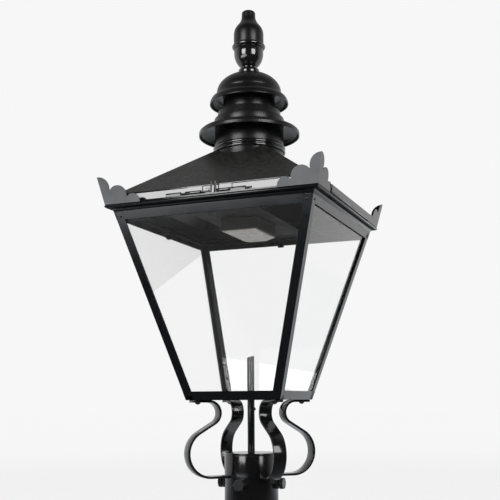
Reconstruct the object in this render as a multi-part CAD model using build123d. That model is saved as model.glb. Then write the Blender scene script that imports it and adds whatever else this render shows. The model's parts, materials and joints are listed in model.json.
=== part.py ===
from build123d import *
import math
import os

# Post top lantern: a tapered four-sided glass lantern with a hinged roof and a tiered
# ventilator stack, carried by four scrolled straps on a sleeve that slips over a post.
# Millimetres and degrees. The origin is the centre of the sleeve's mouth, +Z is up,
# and the roof's hinge is on the front, which faces -Y.

QUARTER_TURN_ANGLE = 90
MITRE_ANGLE = QUARTER_TURN_ANGLE / 2
SIDE_ANGLES = {"front": -QUARTER_TURN_ANGLE, "right": 0, "back": QUARTER_TURN_ANGLE,
               "left": 2 * QUARTER_TURN_ANGLE}
CORNER_ANGLES = {"front_right": -MITRE_ANGLE, "back_right": MITRE_ANGLE,
                 "back_left": 3 * MITRE_ANGLE, "front_left": -3 * MITRE_ANGLE}
REACH = 400.0                  # longer than half the lantern is wide, for cutting shapes
TALL = 2000.0                  # over twice the lantern's height, for cutting shapes

# Post sleeve, its cap plate and the four clamp bolts
SLEEVE_DIAMETER = 88.9
SLEEVE_WALL = 4.0
SLEEVE_LENGTH = 115.0
SLEEVE_MOUTH_CHAMFER = 0.6
CAP_THICKNESS = 4.0
CAP_EDGE_ROUND = 2.0
BOLT_LEVEL = 70.5
BOLT_DIAMETER = 10.0
BOLT_ACROSS_FLATS = 17.0
BOLT_HEAD_THICKNESS = 5.8
BOLT_HEAD_CHAMFER = 1.1
BOLT_GAP = 2.6                 # left between each head and its nut
BOLT_TIP_INSET = 0.15          # the tips rest just inside the sleeve's wall
NUT_STAND = 4.55               # how far the welded nuts stand off the sleeve
THREAD_CLEARANCE = 0.08

# Conduit stem that brings the supply up into the lantern
STEM_DIAMETER = 12.0
STEM_WALL = 1.25
STEM_TOP = 278.5
STEM_CUT_ANGLE = 15.0
STEM_CLEARANCE = 0.1
EARTH_SCREW_LEVEL = 190.0
EARTH_SCREW_DIAMETER = 4.0
EARTH_SCREW_HEAD = 5.8
EARTH_SCREW_HEAD_THICKNESS = 2.4
SCREW_CLEARANCE = 0.1

# Tapered glass frame: corner angle bars between a bottom and a top rail
CAP_TO_FRAME = 86.0
FRAME_HEIGHT = 303.3
FRAME_BOTTOM_WIDTH = 163.6
FRAME_TOP_WIDTH = 341.8
FRAME_SHEET = 3.0
BAR_LEG = 15.0
BOTTOM_RAIL_HEIGHT = 14.0
BOTTOM_FLANGE = 20.0
TOP_RAIL_HEIGHT = 12.5
TOP_FLANGE = 16.0
GLASS_THICKNESS = 3.0
GLASS_CLEARANCE = 0.2
GLASS_EDGE_INSET = 8.0         # from the corner of the frame to the edge of a pane
GLASS_TOP_GAP = 1.3
CLIP_WIDTH = 12.0
CLIP_SHEET = 1.2
CLIP_DROP = 14.0
CLIP_FOOT = 8.0
RIVET_HEAD = 5.0
RIVET_HEAD_THICKNESS = 1.4
RIVET_SHANK = 3.0
RIVET_INSET = 10.0             # from the frame's corner
RIVET_DROP = 7.3               # below the frame's top

# Scrolled straps from the sleeve to the corners of the bottom rail
STRAP_WIDTH = 22.0
STRAP_THICKNESS = 4.0
STRAP_FOOT_INSET = 8.7         # of the strap's end from the frame's corner, along the diagonal
STRAP_FOOT_LENGTH = 29.5
STRAP_UPPER_RADIUS = 19.0
STRAP_LOWER_RADIUS = 38.0
STRAP_SLOPE = 30.7
STRAP_STRAIGHT = 30.3
STRAP_SCREW_INSET = 12.0       # from the end of the strap's foot
STRAP_SCREW_DIAMETER = 6.0
STRAP_SCREW_HEAD = 10.0
STRAP_SCREW_HEAD_THICKNESS = 3.3
STRAP_SCREW_PROUD = 5.0

# Gallery: the moulding on the top rail that carries the roof and the crests
COVE_OUT = 9.5
COVE_RISE = 6.0
BEAD_HEIGHT = 5.2
BEAD_OUT = 1.9
GALLERY_SHEET = 3.0
LEDGE_RISE = 9.0               # of the ledge's upper face above the frame
LEDGE_THICKNESS = 2.0
LEDGE_INSET = 10.9             # of the ledge's inner edge from the frame's top edge
UPSTAND_RISE = 2.5             # above the bead
CREST_LEAN = 12.9
CREST_SHEET = 1.5
CREST_SETBACK = 0.6            # of the crests' foot behind the widest line of the bead
STRIP_RISE = 12.0
STRIP_HOLE_DIAMETER = 2.6
# Each lobe: centre in from the crest's foot corner, centre above the bead, radius
CREST_LOBES = [(-8.2, 25.5, 19.0), (24.8, 12.0, 17.0), (51.8, 1.0, 13.0)]

# Control gear and lamp module under a tray across the top rail
TRAY_WIDTH = 120.0
TRAY_SHEET = 2.0
TRAY_END_GAP = 1.0
GEAR_BOX_WIDTH = 66.0
GEAR_BOX_FRONT = -52.0
GEAR_BOX_BACK = 66.0
GEAR_BOX_DEPTH = 20.0
GEAR_BOX_CUT_RIGHT = 26.0      # the rear corners are cut off
GEAR_BOX_CUT_LEFT = 9.0
DIFFUSER_THICKNESS = 2.0
DIFFUSER_MARGIN = 2.5
GEAR_SCREW_DIAMETER = 4.0
GEAR_SCREW_HEAD = 7.0
GEAR_SCREW_HEAD_THICKNESS = 2.2
GEAR_SCREW_INSET = 8.0         # from the ends of the tray
GEAR_SCREW_SPREAD = 80.0

# Roof, with its plumb skirt that stands on the gallery's ledge
ROOF_SHEET = 2.0
ROOF_SLOPE = 37.2
EAVE_INSET = 1.8               # of the eave from the frame's top edge
EAVE_RISE = 30.6               # of the eave's upper edge above the frame
EAVE_EDGE = 1.8
SKIRT_INSET = 2.9              # of the skirt from the frame's top edge
SKIRT_SHEET = 1.5
LID_REST_GAP = 0.3

# Ventilator stack, all turned about the lantern's axis
NECK_RADIUS = 60.7
STACK_SHEET = 2.0
NECK_SHEET = 3.0
COLLAR_ABOVE_ROOF = 13.3       # lower bead above the line where the roof meets the neck
COLLAR_BEAD_PITCH = 6.5
COLLAR_BEAD_RADIUS = 3.25
COLLAR_BAND = 1.2
CANOPY_ABOVE_COLLAR = 22.7
CANOPY_RADIUS = 89.0
CANOPY_CROWN_RADIUS = 56.2
CANOPY_LIP = 5.2
CANOPY_RISE = 11.1
LOWER_STEP_RADIUS = 61.9
LOWER_STEP_RISE = 15.4
UPPER_STEP_RADIUS = 55.8
UPPER_STEP_RISE = 13.1
STEP_EDGE_ROUND = 1.0
UPPER_NECK_RADIUS = 46.0
BRIM_ABOVE_STEPS = 14.6
BRIM_RADIUS = 70.1
BRIM_CROWN_RADIUS = 59.1
BRIM_RISE = 14.6
DOME_RADIUS = 57.6
DOME_WALL_RISE = 7.8
DOME_RISE = 37.5

# Finial and the rod that ties the stack together
FINIAL_FOOT_RADIUS = 18.6
FINIAL_FOOT_RISE = 6.0
FINIAL_NECK_RADIUS = 13.6
FINIAL_NECK_RISE = 9.0
FINIAL_BOWL_RADIUS = 26.3
FINIAL_BOWL_CURVE = 34.0       # radius of the bowl's swelling side
FINIAL_BOWL_SHOULDER = 37.0
FINIAL_BOWL_TOP = 46.0
FINIAL_RING_RADIUS = 29.9
FINIAL_RING_RISE = 8.0
FINIAL_CAP_RADIUS = 26.9
FINIAL_CAP_WALL_RISE = 19.0
FINIAL_CAP_WAIST_RADIUS = 12.4
FINIAL_CAP_WAIST_RISE = 56.0
FINIAL_CAP_RISE = 64.8
FINIAL_TIP_ROUND = 5.0
FINIAL_SWEEP = 1.4             # how full the cap's shoulder and waist are
ROD_DIAMETER = 8.0
ROD_CLEARANCE = 0.1
ROD_IN_CAP = 30.0
ROD_TAIL = 12.0
BRIDGE_WIDTH = 20.0
BRIDGE_THICKNESS = 3.0
ROD_NUT_ACROSS_FLATS = 13.0
ROD_NUT_THICKNESS = 6.5

# Quick-release hinge on the front: two knuckles on the gallery, two on the roof's skirt
HINGE_STANDOFF = 7.0           # of the pin's axis in front of the skirt
HINGE_RISE = 8.7               # of the pin's axis above the ledge
KNUCKLE_DIAMETER = 6.0
KNUCKLE_SHEET = 1.5
KEEPER_FOOT = 6.5
PIN_DIAMETER = 3.0
PIN_CLEARANCE = 0.1
KEEPER_LEFT = (-72.5, -46.7)
LUG_LEFT = (-38.6, -12.2)
LUG_RIGHT = (14.8, 38.0)
KEEPER_RIGHT = (39.0, 63.6)
PIN_TAIL_END = 73.5
PIN_GRIP = 13.0                # where the fixed pin's finger leg stands
BOLT_GRIP = 5.0                # where the sliding bolt's finger leg stands
BOLT_ENGAGEMENT = 3.3          # of the sliding bolt in its keeper
LEG_HEIGHT = 15.5
LEG_LEAN = 2.2
STUD_PLACE = -4.2
STUD_RISE = 6.0
STUD_DIAMETER = 6.0
STUD_BORE = 3.0
STUD_THICKNESS = 1.2

# Levels and radii that follow from the sizes above
SLEEVE_RADIUS = SLEEVE_DIAMETER / 2
SLEEVE_BORE_RADIUS = SLEEVE_RADIUS - SLEEVE_WALL
CAP_TOP = SLEEVE_LENGTH + CAP_THICKNESS
FRAME_BASE = CAP_TOP + CAP_TO_FRAME
FRAME_TOP = FRAME_BASE + FRAME_HEIGHT
FRAME_TAPER = (FRAME_TOP_WIDTH - FRAME_BOTTOM_WIDTH) / 2 / FRAME_HEIGHT
FRAME_ANGLE = math.degrees(math.atan(FRAME_TAPER))
STRAP_FOOT_END = FRAME_BOTTOM_WIDTH / math.sqrt(2) - STRAP_FOOT_INSET
STRAP_FOOT_BEND = STRAP_FOOT_END - STRAP_FOOT_LENGTH
FRAME_WALL = FRAME_SHEET / math.cos(math.atan(FRAME_TAPER))
GLASS_FACE = FRAME_WALL + GLASS_CLEARANCE
GLASS_BACK = GLASS_FACE + GLASS_THICKNESS / math.cos(math.atan(FRAME_TAPER))
BEAD_BASE = FRAME_TOP + COVE_RISE
BEAD_TOP = BEAD_BASE + BEAD_HEIGHT
COVE_TOP_HALF = FRAME_TOP_WIDTH / 2 + COVE_OUT
BEAD_HALF = COVE_TOP_HALF + BEAD_OUT
LEDGE_TOP = FRAME_TOP + LEDGE_RISE
LEDGE_INNER_HALF = FRAME_TOP_WIDTH / 2 - LEDGE_INSET
UPSTAND_TOP = BEAD_TOP + UPSTAND_RISE
LEAN = math.tan(math.radians(CREST_LEAN))
CREST_WALL = CREST_SHEET / math.cos(math.radians(CREST_LEAN))
CREST_FOOT_HALF = BEAD_HALF - CREST_SETBACK
CREST_TOP = BEAD_TOP + CREST_LOBES[0][1] + CREST_LOBES[0][2]
EAVE_TOP = FRAME_TOP + EAVE_RISE
EAVE_HALF = FRAME_TOP_WIDTH / 2 - EAVE_INSET
SKIRT_HALF = FRAME_TOP_WIDTH / 2 - SKIRT_INSET
ROOF_PITCH = math.tan(math.radians(ROOF_SLOPE))
ROOF_APEX = EAVE_TOP + EAVE_HALF * ROOF_PITCH
ROOF_WALL = ROOF_SHEET / math.cos(math.radians(ROOF_SLOPE))
COLLAR_LOW_BEAD = ROOF_APEX - NECK_RADIUS * ROOF_PITCH + COLLAR_ABOVE_ROOF
COLLAR_HIGH_BEAD = COLLAR_LOW_BEAD + COLLAR_BEAD_PITCH
CANOPY_BASE = COLLAR_HIGH_BEAD + CANOPY_ABOVE_COLLAR
CANOPY_SPRING = CANOPY_BASE + CANOPY_LIP
CANOPY_TOP = CANOPY_SPRING + CANOPY_RISE
LOWER_STEP_TOP = CANOPY_TOP + LOWER_STEP_RISE
UPPER_STEP_TOP = LOWER_STEP_TOP + UPPER_STEP_RISE
BRIM_BASE = UPPER_STEP_TOP + BRIM_ABOVE_STEPS
BRIM_TOP = BRIM_BASE + BRIM_RISE
DOME_BASE = BRIM_TOP + DOME_WALL_RISE
DOME_TOP = DOME_BASE + DOME_RISE
FINIAL_RING_BASE = DOME_TOP + FINIAL_BOWL_TOP
FINIAL_CAP_BASE = FINIAL_RING_BASE + FINIAL_RING_RISE
ROD_RADIUS = ROD_DIAMETER / 2
PIN_RADIUS = PIN_DIAMETER / 2
HINGE_FRONT = SKIRT_HALF + HINGE_STANDOFF
HINGE_LEVEL = LEDGE_TOP + HINGE_RISE


def frame_half(level):
    """Half the glass frame's outer width at a level."""
    return FRAME_BOTTOM_WIDTH / 2 + (level - FRAME_BASE) * FRAME_TAPER


def crest_half(level):
    """Half the width over the crests' leaning outer faces at a level."""
    return CREST_FOOT_HALF + (level - BEAD_TOP) * LEAN


def square_turned(profile):
    """A solid with square level sections, from the profile that its front and sides share."""
    through = extrude(Plane.XZ * profile, REACH, both=True)
    return through & Rot(0, 0, QUARTER_TURN_ANGLE) * through


def frustum(half_low, half_high, low, high):
    """A square block whose half width runs from half_low to half_high."""
    corners = [(-half_low, low), (half_low, low), (half_high, high), (-half_high, high)]
    return square_turned(Polygon(*corners, align=None))


def frame_block(low, high, inset=0.0):
    """The glass frame's tapered outline between two levels, drawn in by an inset."""
    return frustum(frame_half(low) - inset, frame_half(high) - inset, low, high)


def crest_block(low, high, inset=0.0):
    """The crests' leaning outline between two levels, drawn in by an inset."""
    return frustum(crest_half(low) - inset, crest_half(high) - inset, low, high)


def slab(half_x, half_y, low, high):
    """An upright rectangular block about the axis."""
    return Pos(0, 0, low) * extrude(Rectangle(2 * half_x, 2 * half_y), high - low)


def rod(radius, low, high):
    """An upright round bar on the axis."""
    return Pos(0, 0, low) * extrude(Circle(radius), high - low)


def turned(*edges):
    """A solid turned about the axis from a closed outline of radius and level."""
    return revolve(Plane.XZ * make_face(Curve() + list(edges)), Axis.Z)


def bell(rim, crown, low, spring, top):
    """A filled bell: a plumb lip, then a quarter ellipse up to a flat crown."""
    arc = EllipticalCenterArc((crown, spring), rim - crown, top - spring, 0,
                              arc_size=QUARTER_TURN_ANGLE)
    edges = [Line((0, top), (0, low)), Line((0, low), (rim, low)), arc]
    if spring > low:
        edges.append(Line((rim, low), (rim, spring)))
    if crown > 0:
        edges.append(Line((crown, top), (0, top)))
    return turned(*edges)


def along_x(profile, start, length):
    """A profile that faces +X, extruded along X from a start."""
    return extrude(Plane.YZ.offset(start) * profile, length)


def hexagon(across_flats):
    return RegularPolygon(across_flats / 2, 6, major_radius=False)


def round_head(diameter, thickness):
    """A domed screw or rivet head, cut from a ball, that stands on YZ and points along +X."""
    ball = (diameter ** 2 / 4 + thickness ** 2) / (2 * thickness)
    dome_cut = Pos(0, 0, thickness - ball) * Sphere(ball) & rod(diameter, 0, thickness)
    return Rot(0, QUARTER_TURN_ANGLE, 0) * dome_cut


def fastener(head, head_thickness, shank, length):
    """A round-headed fastener: the head points along +X and the shank along -X."""
    return round_head(head, head_thickness) + along_x(Circle(shank / 2), -length, length)


# Post sleeve and clamp bolts

def post_sleeve():
    tube = rod(SLEEVE_RADIUS, 0, SLEEVE_LENGTH) - rod(SLEEVE_BORE_RADIUS, 0, SLEEVE_LENGTH)
    tube = chamfer(tube.edges().group_by(Axis.Z)[0], SLEEVE_MOUTH_CHAMFER)
    hole = along_x(Circle(BOLT_DIAMETER / 2 + THREAD_CLEARANCE), 0, REACH)
    return tube - [Rot(0, 0, turn) * Pos(0, 0, BOLT_LEVEL) * hole for turn in SIDE_ANGLES.values()]


def sleeve_cap():
    plate = rod(SLEEVE_RADIUS, SLEEVE_LENGTH, CAP_TOP)
    plate = fillet(plate.edges().group_by(Axis.Z)[-1], CAP_EDGE_ROUND)
    return plate - rod(STEM_DIAMETER / 2 + STEM_CLEARANCE, SLEEVE_LENGTH, CAP_TOP)


def clamp_nuts():
    depth = SLEEVE_WALL + NUT_STAND
    nut = along_x(hexagon(BOLT_ACROSS_FLATS), SLEEVE_BORE_RADIUS, depth)
    nut -= along_x(Circle(BOLT_DIAMETER / 2 + THREAD_CLEARANCE), 0, REACH)
    nut = Pos(0, 0, BOLT_LEVEL) * nut - rod(SLEEVE_RADIUS, 0, SLEEVE_LENGTH)
    return Part() + [Rot(0, 0, turn) * nut for turn in SIDE_ANGLES.values()]


def clamp_bolt(turn):
    tip = SLEEVE_BORE_RADIUS + BOLT_TIP_INSET
    seat = SLEEVE_RADIUS + NUT_STAND + BOLT_GAP
    head = along_x(hexagon(BOLT_ACROSS_FLATS), seat, BOLT_HEAD_THICKNESS)
    corner = BOLT_ACROSS_FLATS / math.sqrt(3)
    crown = along_x(Circle(corner), seat, BOLT_HEAD_THICKNESS)
    head &= chamfer(crown.edges().group_by(Axis.X)[-1], BOLT_HEAD_CHAMFER)
    shank = along_x(Circle(BOLT_DIAMETER / 2), tip, seat - tip)
    return Rot(0, 0, turn) * Pos(0, 0, BOLT_LEVEL) * (head + shank)


# Conduit stem

def conduit_stem():
    tube = rod(STEM_DIAMETER / 2, SLEEVE_LENGTH, STEM_TOP)
    tube -= rod(STEM_DIAMETER / 2 - STEM_WALL, SLEEVE_LENGTH, STEM_TOP)
    skew = math.tan(math.radians(STEM_CUT_ANGLE)) * STEM_DIAMETER / 2
    tube -= Pos(0, 0, STEM_TOP - skew) * Rot(0, -STEM_CUT_ANGLE, 0) * slab(REACH, REACH, 0, REACH)
    return tube - Pos(0, 0, EARTH_SCREW_LEVEL) * along_x(
        Circle(EARTH_SCREW_DIAMETER / 2 + SCREW_CLEARANCE), 0, REACH)


def earth_screw():
    screw = fastener(EARTH_SCREW_HEAD, EARTH_SCREW_HEAD_THICKNESS, EARTH_SCREW_DIAMETER,
                     STEM_DIAMETER / 2)
    return Pos(STEM_DIAMETER / 2, 0, EARTH_SCREW_LEVEL) * screw


# Scrolled straps

def strap_path():
    """The centre line of a strap in radius and level: foot, upper scroll, straight, lower scroll."""
    down, out = math.sin(math.radians(STRAP_SLOPE)), math.cos(math.radians(STRAP_SLOPE))
    foot_level = FRAME_BASE - STRAP_THICKNESS / 2
    upper = (STRAP_FOOT_BEND, foot_level - STRAP_UPPER_RADIUS)
    radii = STRAP_UPPER_RADIUS + STRAP_LOWER_RADIUS
    lower = (upper[0] - radii * down + STRAP_STRAIGHT * out,
             upper[1] - radii * out - STRAP_STRAIGHT * down)
    scroll_up = CenterArc(upper, STRAP_UPPER_RADIUS, 90, 180 - STRAP_SLOPE)
    scroll_low = CenterArc(lower, STRAP_LOWER_RADIUS, 90 - STRAP_SLOPE, STRAP_SLOPE - 180)
    weld = (SLEEVE_BORE_RADIUS, lower[1] - STRAP_LOWER_RADIUS)
    return Plane.XZ * Wire([
        Line((STRAP_FOOT_END, foot_level), scroll_up @ 0), scroll_up,
        Line(scroll_up @ 1, scroll_low @ 0), scroll_low, Line(scroll_low @ 1, weld)])


def strap_screw_place():
    return STRAP_FOOT_END - STRAP_SCREW_INSET


def strap(turn):
    path = strap_path()
    across = Plane(path @ 0, x_dir=(0, 1, 0), z_dir=path % 0)
    section = across * Rectangle(STRAP_WIDTH, STRAP_THICKNESS)
    bar = sweep(section, path) - rod(SLEEVE_RADIUS, 0, CAP_TOP)
    foot_low = FRAME_BASE - STRAP_THICKNESS
    half = FRAME_BOTTOM_WIDTH / 2
    rim = slab(REACH, REACH, foot_low, FRAME_BASE) - slab(half, half, foot_low, FRAME_BASE)
    bar -= Rot(0, 0, 45) * rim
    hole = rod(STRAP_SCREW_DIAMETER / 2 + SCREW_CLEARANCE, foot_low, FRAME_BASE)
    bar -= Pos(strap_screw_place(), 0, 0) * hole
    return Rot(0, 0, turn) * bar


def strap_screws():
    length = STRAP_THICKNESS + FRAME_SHEET + STRAP_SCREW_PROUD
    screw = fastener(STRAP_SCREW_HEAD, STRAP_SCREW_HEAD_THICKNESS, STRAP_SCREW_DIAMETER, length)
    place = Pos(strap_screw_place(), 0, FRAME_BASE - STRAP_THICKNESS)
    screw = place * Rot(0, QUARTER_TURN_ANGLE, 0) * screw
    return Part() + [Rot(0, 0, turn) * screw for turn in CORNER_ANGLES.values()]


# Glass frame

def frame_shell(low, high):
    return frame_block(low, high) - frame_block(low, high, FRAME_WALL)


def bar_zone():
    """The square column that follows the frame's right rear corner, one bar leg wide."""
    low, high = frame_half(FRAME_BASE) - BAR_LEG, frame_half(FRAME_TOP) - BAR_LEG
    zone = Polygon((low, FRAME_BASE), (REACH, FRAME_BASE), (REACH, FRAME_TOP), (high, FRAME_TOP),
                   align=None)
    through = extrude(Plane.XZ * zone, REACH, both=True)
    return through & Rot(0, 0, QUARTER_TURN_ANGLE) * through


def corner_bars():
    bar = frame_shell(FRAME_BASE, FRAME_TOP) & bar_zone()
    return {name: Rot(0, 0, turn - 45) * bar for name, turn in CORNER_ANGLES.items()}


def bottom_frame(bars):
    rail_top = FRAME_BASE + BOTTOM_RAIL_HEIGHT
    flange_top = FRAME_BASE + FRAME_SHEET
    opening = FRAME_BOTTOM_WIDTH / 2 - BOTTOM_FLANGE
    ring = frame_block(FRAME_BASE, rail_top) - frame_block(flange_top, rail_top, FRAME_WALL)
    ring -= slab(opening, opening, FRAME_BASE, rail_top)
    hole = rod(STRAP_SCREW_DIAMETER / 2 + SCREW_CLEARANCE, FRAME_BASE, flange_top)
    holes = [Rot(0, 0, turn) * Pos(strap_screw_place(), 0, 0) * hole for turn in CORNER_ANGLES.values()]
    return ring - holes - list(bars.values())


def top_rail(bars):
    rail_base = FRAME_TOP - TOP_RAIL_HEIGHT
    flange_base = FRAME_TOP - FRAME_SHEET
    opening = FRAME_TOP_WIDTH / 2 - TOP_FLANGE
    ring = frame_block(rail_base, FRAME_TOP) - frame_block(rail_base, flange_base, FRAME_WALL)
    ring -= slab(opening, opening, rail_base, FRAME_TOP)
    return ring - list(bars.values()) - tray_screw_holes(flange_base, FRAME_TOP)


def rivet_spots():
    """Where the rivets stand: two on each corner bar, square to the glass frame's faces."""
    level = FRAME_TOP - RIVET_DROP
    place = frame_half(level)
    for turn in SIDE_ANGLES.values():
        for hand in (-1, 1):
            spot = Pos(place, hand * (place - RIVET_INSET), level)
            yield Rot(0, 0, turn) * spot * Rot(0, FRAME_ANGLE, 0)


def corner_rivets():
    rivet = fastener(RIVET_HEAD, RIVET_HEAD_THICKNESS, RIVET_SHANK, FRAME_SHEET)
    return Part() + [spot * rivet for spot in rivet_spots()]


def drill_rivet_holes(bar):
    drill = along_x(Circle(RIVET_SHANK / 2), -2 * FRAME_SHEET, 3 * FRAME_SHEET)
    return bar - [spot * drill for spot in rivet_spots()]


def glass_pane(turn):
    low = FRAME_BASE + FRAME_SHEET + GLASS_CLEARANCE
    high = FRAME_TOP - FRAME_SHEET - GLASS_TOP_GAP
    sheet = frame_block(low, high, GLASS_FACE) - frame_block(low, high, GLASS_BACK)
    low_half, high_half = frame_half(low) - GLASS_EDGE_INSET, frame_half(high) - GLASS_EDGE_INSET
    outline = Polygon((-low_half, low), (low_half, low), (high_half, high), (-high_half, high),
                      align=None)
    return Rot(0, 0, turn) * (sheet & extrude(Plane.YZ * outline, REACH))


def glazing_clips():
    """Spring tabs under the top rail's flange that hold the head of each pane."""
    flange_base = FRAME_TOP - FRAME_SHEET
    low = flange_base - CLIP_DROP
    tab = frame_block(low, flange_base, GLASS_BACK)
    tab -= frame_block(low, flange_base - CLIP_SHEET, GLASS_BACK + CLIP_SHEET)
    inner = frame_half(flange_base) - GLASS_BACK - CLIP_FOOT
    tab &= along_x(Rectangle(CLIP_WIDTH, TALL), inner, REACH)
    return Part() + [Rot(0, 0, turn) * tab for turn in SIDE_ANGLES.values()]


# Gallery, side strips and crests

def gallery():
    rail_half = FRAME_TOP_WIDTH / 2
    foot, top = crest_half(BEAD_TOP) - CREST_WALL, crest_half(UPSTAND_TOP) - CREST_WALL
    bead_end = (CREST_FOOT_HALF, BEAD_TOP)
    half = make_face(Curve() + [
        Line((0, UPSTAND_TOP), (0, FRAME_TOP)), Line((0, FRAME_TOP), (rail_half, FRAME_TOP)),
        EllipticalCenterArc((COVE_TOP_HALF, FRAME_TOP), COVE_OUT, COVE_RISE,
                            2 * QUARTER_TURN_ANGLE, arc_size=-QUARTER_TURN_ANGLE),
        ThreePointArc((COVE_TOP_HALF, BEAD_BASE), (BEAD_HALF, BEAD_BASE + BEAD_HEIGHT / 2),
                      bead_end),
        Line(bead_end, (foot, BEAD_TOP)), Line((foot, BEAD_TOP), (top, UPSTAND_TOP)),
        Line((top, UPSTAND_TOP), (0, UPSTAND_TOP))])
    body = square_turned(half + mirror(half, about=Plane.YZ))
    body -= crest_block(LEDGE_TOP, UPSTAND_TOP, 2 * CREST_WALL)
    web = rail_half - GALLERY_SHEET
    body -= slab(web, web, FRAME_TOP, LEDGE_TOP - LEDGE_THICKNESS)
    return body - slab(LEDGE_INNER_HALF, LEDGE_INNER_HALF, FRAME_TOP, UPSTAND_TOP)


def crest_shell(high):
    return crest_block(BEAD_TOP, high) - crest_block(BEAD_TOP, high, CREST_WALL)


def crest_outline():
    """One wing of a crest seen square on: three scalloped lobes that step up to the corner."""
    outline = Sketch()
    for inset, rise, radius in CREST_LOBES:
        centre = CREST_FOOT_HALF - inset
        outline += Pos(centre, BEAD_TOP + rise) * Circle(radius)
        outline += Polygon((centre - radius, BEAD_TOP), (REACH, BEAD_TOP), (REACH, BEAD_TOP + rise),
                           (centre - radius, BEAD_TOP + rise), align=None)
    return outline


def crest():
    """The crest of the front right corner: one wing, and its mirror image over the diagonal."""
    mitre = extrude(Polygon((0, 0), (0, -REACH), (REACH, -REACH), align=None), 2 * CREST_TOP)
    wing = crest_shell(CREST_TOP) & extrude(Plane.XZ * crest_outline(), REACH) & mitre
    return wing + mirror(wing, about=Plane((0, 0, 0), z_dir=(1, 1, 0)))


def crests():
    first = crest()
    return {name: Rot(0, 0, turn + 45) * first for name, turn in CORNER_ANGLES.items()}


def side_strip(turn, corner_crests):
    """The low strip between two crests, cut to their outline; a small hole drains its middle."""
    last = CREST_LOBES[-1]
    half = CREST_FOOT_HALF - last[0]
    span = Rot(0, 0, turn) * along_x(Rectangle(2 * half, TALL), 0, REACH)
    hole = along_x(Circle(STRIP_HOLE_DIAMETER / 2), 0, REACH)
    hole = Pos(0, 0, BEAD_TOP + STRIP_HOLE_DIAMETER) * hole
    sheet = crest_shell(BEAD_TOP + STRIP_RISE) & span
    return sheet - Rot(0, 0, turn) * hole - list(corner_crests.values())


# Control gear and lamp module

def tray_screw_places():
    y = FRAME_TOP_WIDTH / 2 - GALLERY_SHEET - TRAY_END_GAP - GEAR_SCREW_INSET
    return [(x * GEAR_SCREW_SPREAD / 2, end * y) for x in (-1, 1) for end in (-1, 1)]


def tray_screw_holes(low, high):
    hole = rod(GEAR_SCREW_DIAMETER / 2 + SCREW_CLEARANCE, low, high)
    return [Pos(x, y, 0) * hole for x, y in tray_screw_places()]


def gear_tray():
    half = FRAME_TOP_WIDTH / 2 - GALLERY_SHEET - TRAY_END_GAP
    plate = slab(TRAY_WIDTH / 2, half, FRAME_TOP, FRAME_TOP + TRAY_SHEET)
    return plate - tray_screw_holes(FRAME_TOP, FRAME_TOP + TRAY_SHEET)


def gear_screws():
    length = TRAY_SHEET + FRAME_SHEET
    screw = fastener(GEAR_SCREW_HEAD, GEAR_SCREW_HEAD_THICKNESS, GEAR_SCREW_DIAMETER, length)
    screw = Pos(0, 0, FRAME_TOP + TRAY_SHEET) * Rot(0, -QUARTER_TURN_ANGLE, 0) * screw
    return Part() + [Pos(x, y, 0) * screw for x, y in tray_screw_places()]


def gear_outline(margin):
    """The lamp module from above: a rectangle with both rear corners cut off."""
    half = GEAR_BOX_WIDTH / 2 - margin
    front, back = GEAR_BOX_FRONT + margin, GEAR_BOX_BACK - margin
    right, left = GEAR_BOX_CUT_RIGHT - margin, GEAR_BOX_CUT_LEFT - margin
    return Polygon((-half, front), (half, front), (half, back - right), (half - right, back),
                   (-half + left, back), (-half, back - left), align=None)


def gear_box():
    base = FRAME_TOP - GEAR_BOX_DEPTH
    body = Pos(0, 0, base) * extrude(gear_outline(0), GEAR_BOX_DEPTH)
    return body - Pos(0, 0, base) * extrude(gear_outline(DIFFUSER_MARGIN), DIFFUSER_THICKNESS / 2)


def led_diffuser():
    top = FRAME_TOP - GEAR_BOX_DEPTH + DIFFUSER_THICKNESS / 2
    panel = extrude(gear_outline(DIFFUSER_MARGIN + GLASS_CLEARANCE), DIFFUSER_THICKNESS)
    return Pos(0, 0, top - DIFFUSER_THICKNESS) * panel


# Roof

def roof_block():
    """The roof's outer form as a filled pyramid on its plumb eave edge."""
    eave_base = EAVE_TOP - EAVE_EDGE
    return square_turned(Polygon(
        (-EAVE_HALF, eave_base), (EAVE_HALF, eave_base), (EAVE_HALF, EAVE_TOP), (0, ROOF_APEX),
        (-EAVE_HALF, EAVE_TOP), align=None))


def roof_lid():
    inner = SKIRT_HALF - SKIRT_SHEET
    inner_top = ROOF_APEX - ROOF_WALL
    knee = inner_top - inner * ROOF_PITCH
    hollow = Polygon((-inner, FRAME_TOP), (inner, FRAME_TOP), (inner, knee), (0, inner_top),
                     (-inner, knee), align=None)
    roof = roof_block() + slab(SKIRT_HALF, SKIRT_HALF, LEDGE_TOP + LID_REST_GAP, EAVE_TOP)
    return roof - square_turned(hollow) - rod(NECK_RADIUS, FRAME_TOP, ROOF_APEX)


# Ventilator stack

def lower_neck():
    top = CANOPY_TOP - STACK_SHEET
    base = EAVE_TOP
    tube = rod(NECK_RADIUS, base, CANOPY_TOP) - rod(NECK_RADIUS - NECK_SHEET, base, CANOPY_TOP)
    under_roof = ROOF_APEX - ROOF_WALL - NECK_RADIUS * ROOF_PITCH - NECK_SHEET
    tube &= bell(CANOPY_RADIUS - STACK_SHEET, CANOPY_CROWN_RADIUS, base, CANOPY_SPRING, top)
    return tube - rod(NECK_RADIUS, base, under_roof)


def collar_bead(level):
    ring = Pos(NECK_RADIUS, level) * Circle(COLLAR_BEAD_RADIUS)
    return revolve(Plane.XZ * ring, Axis.Z)


def chimney_collar():
    low = COLLAR_LOW_BEAD - COLLAR_BEAD_RADIUS
    high = COLLAR_HIGH_BEAD + COLLAR_BEAD_RADIUS
    band = rod(NECK_RADIUS + COLLAR_BAND, low, high)
    ring = band + collar_bead(COLLAR_LOW_BEAD) + collar_bead(COLLAR_HIGH_BEAD)
    return ring - rod(NECK_RADIUS, low, high) - roof_block()


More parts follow.
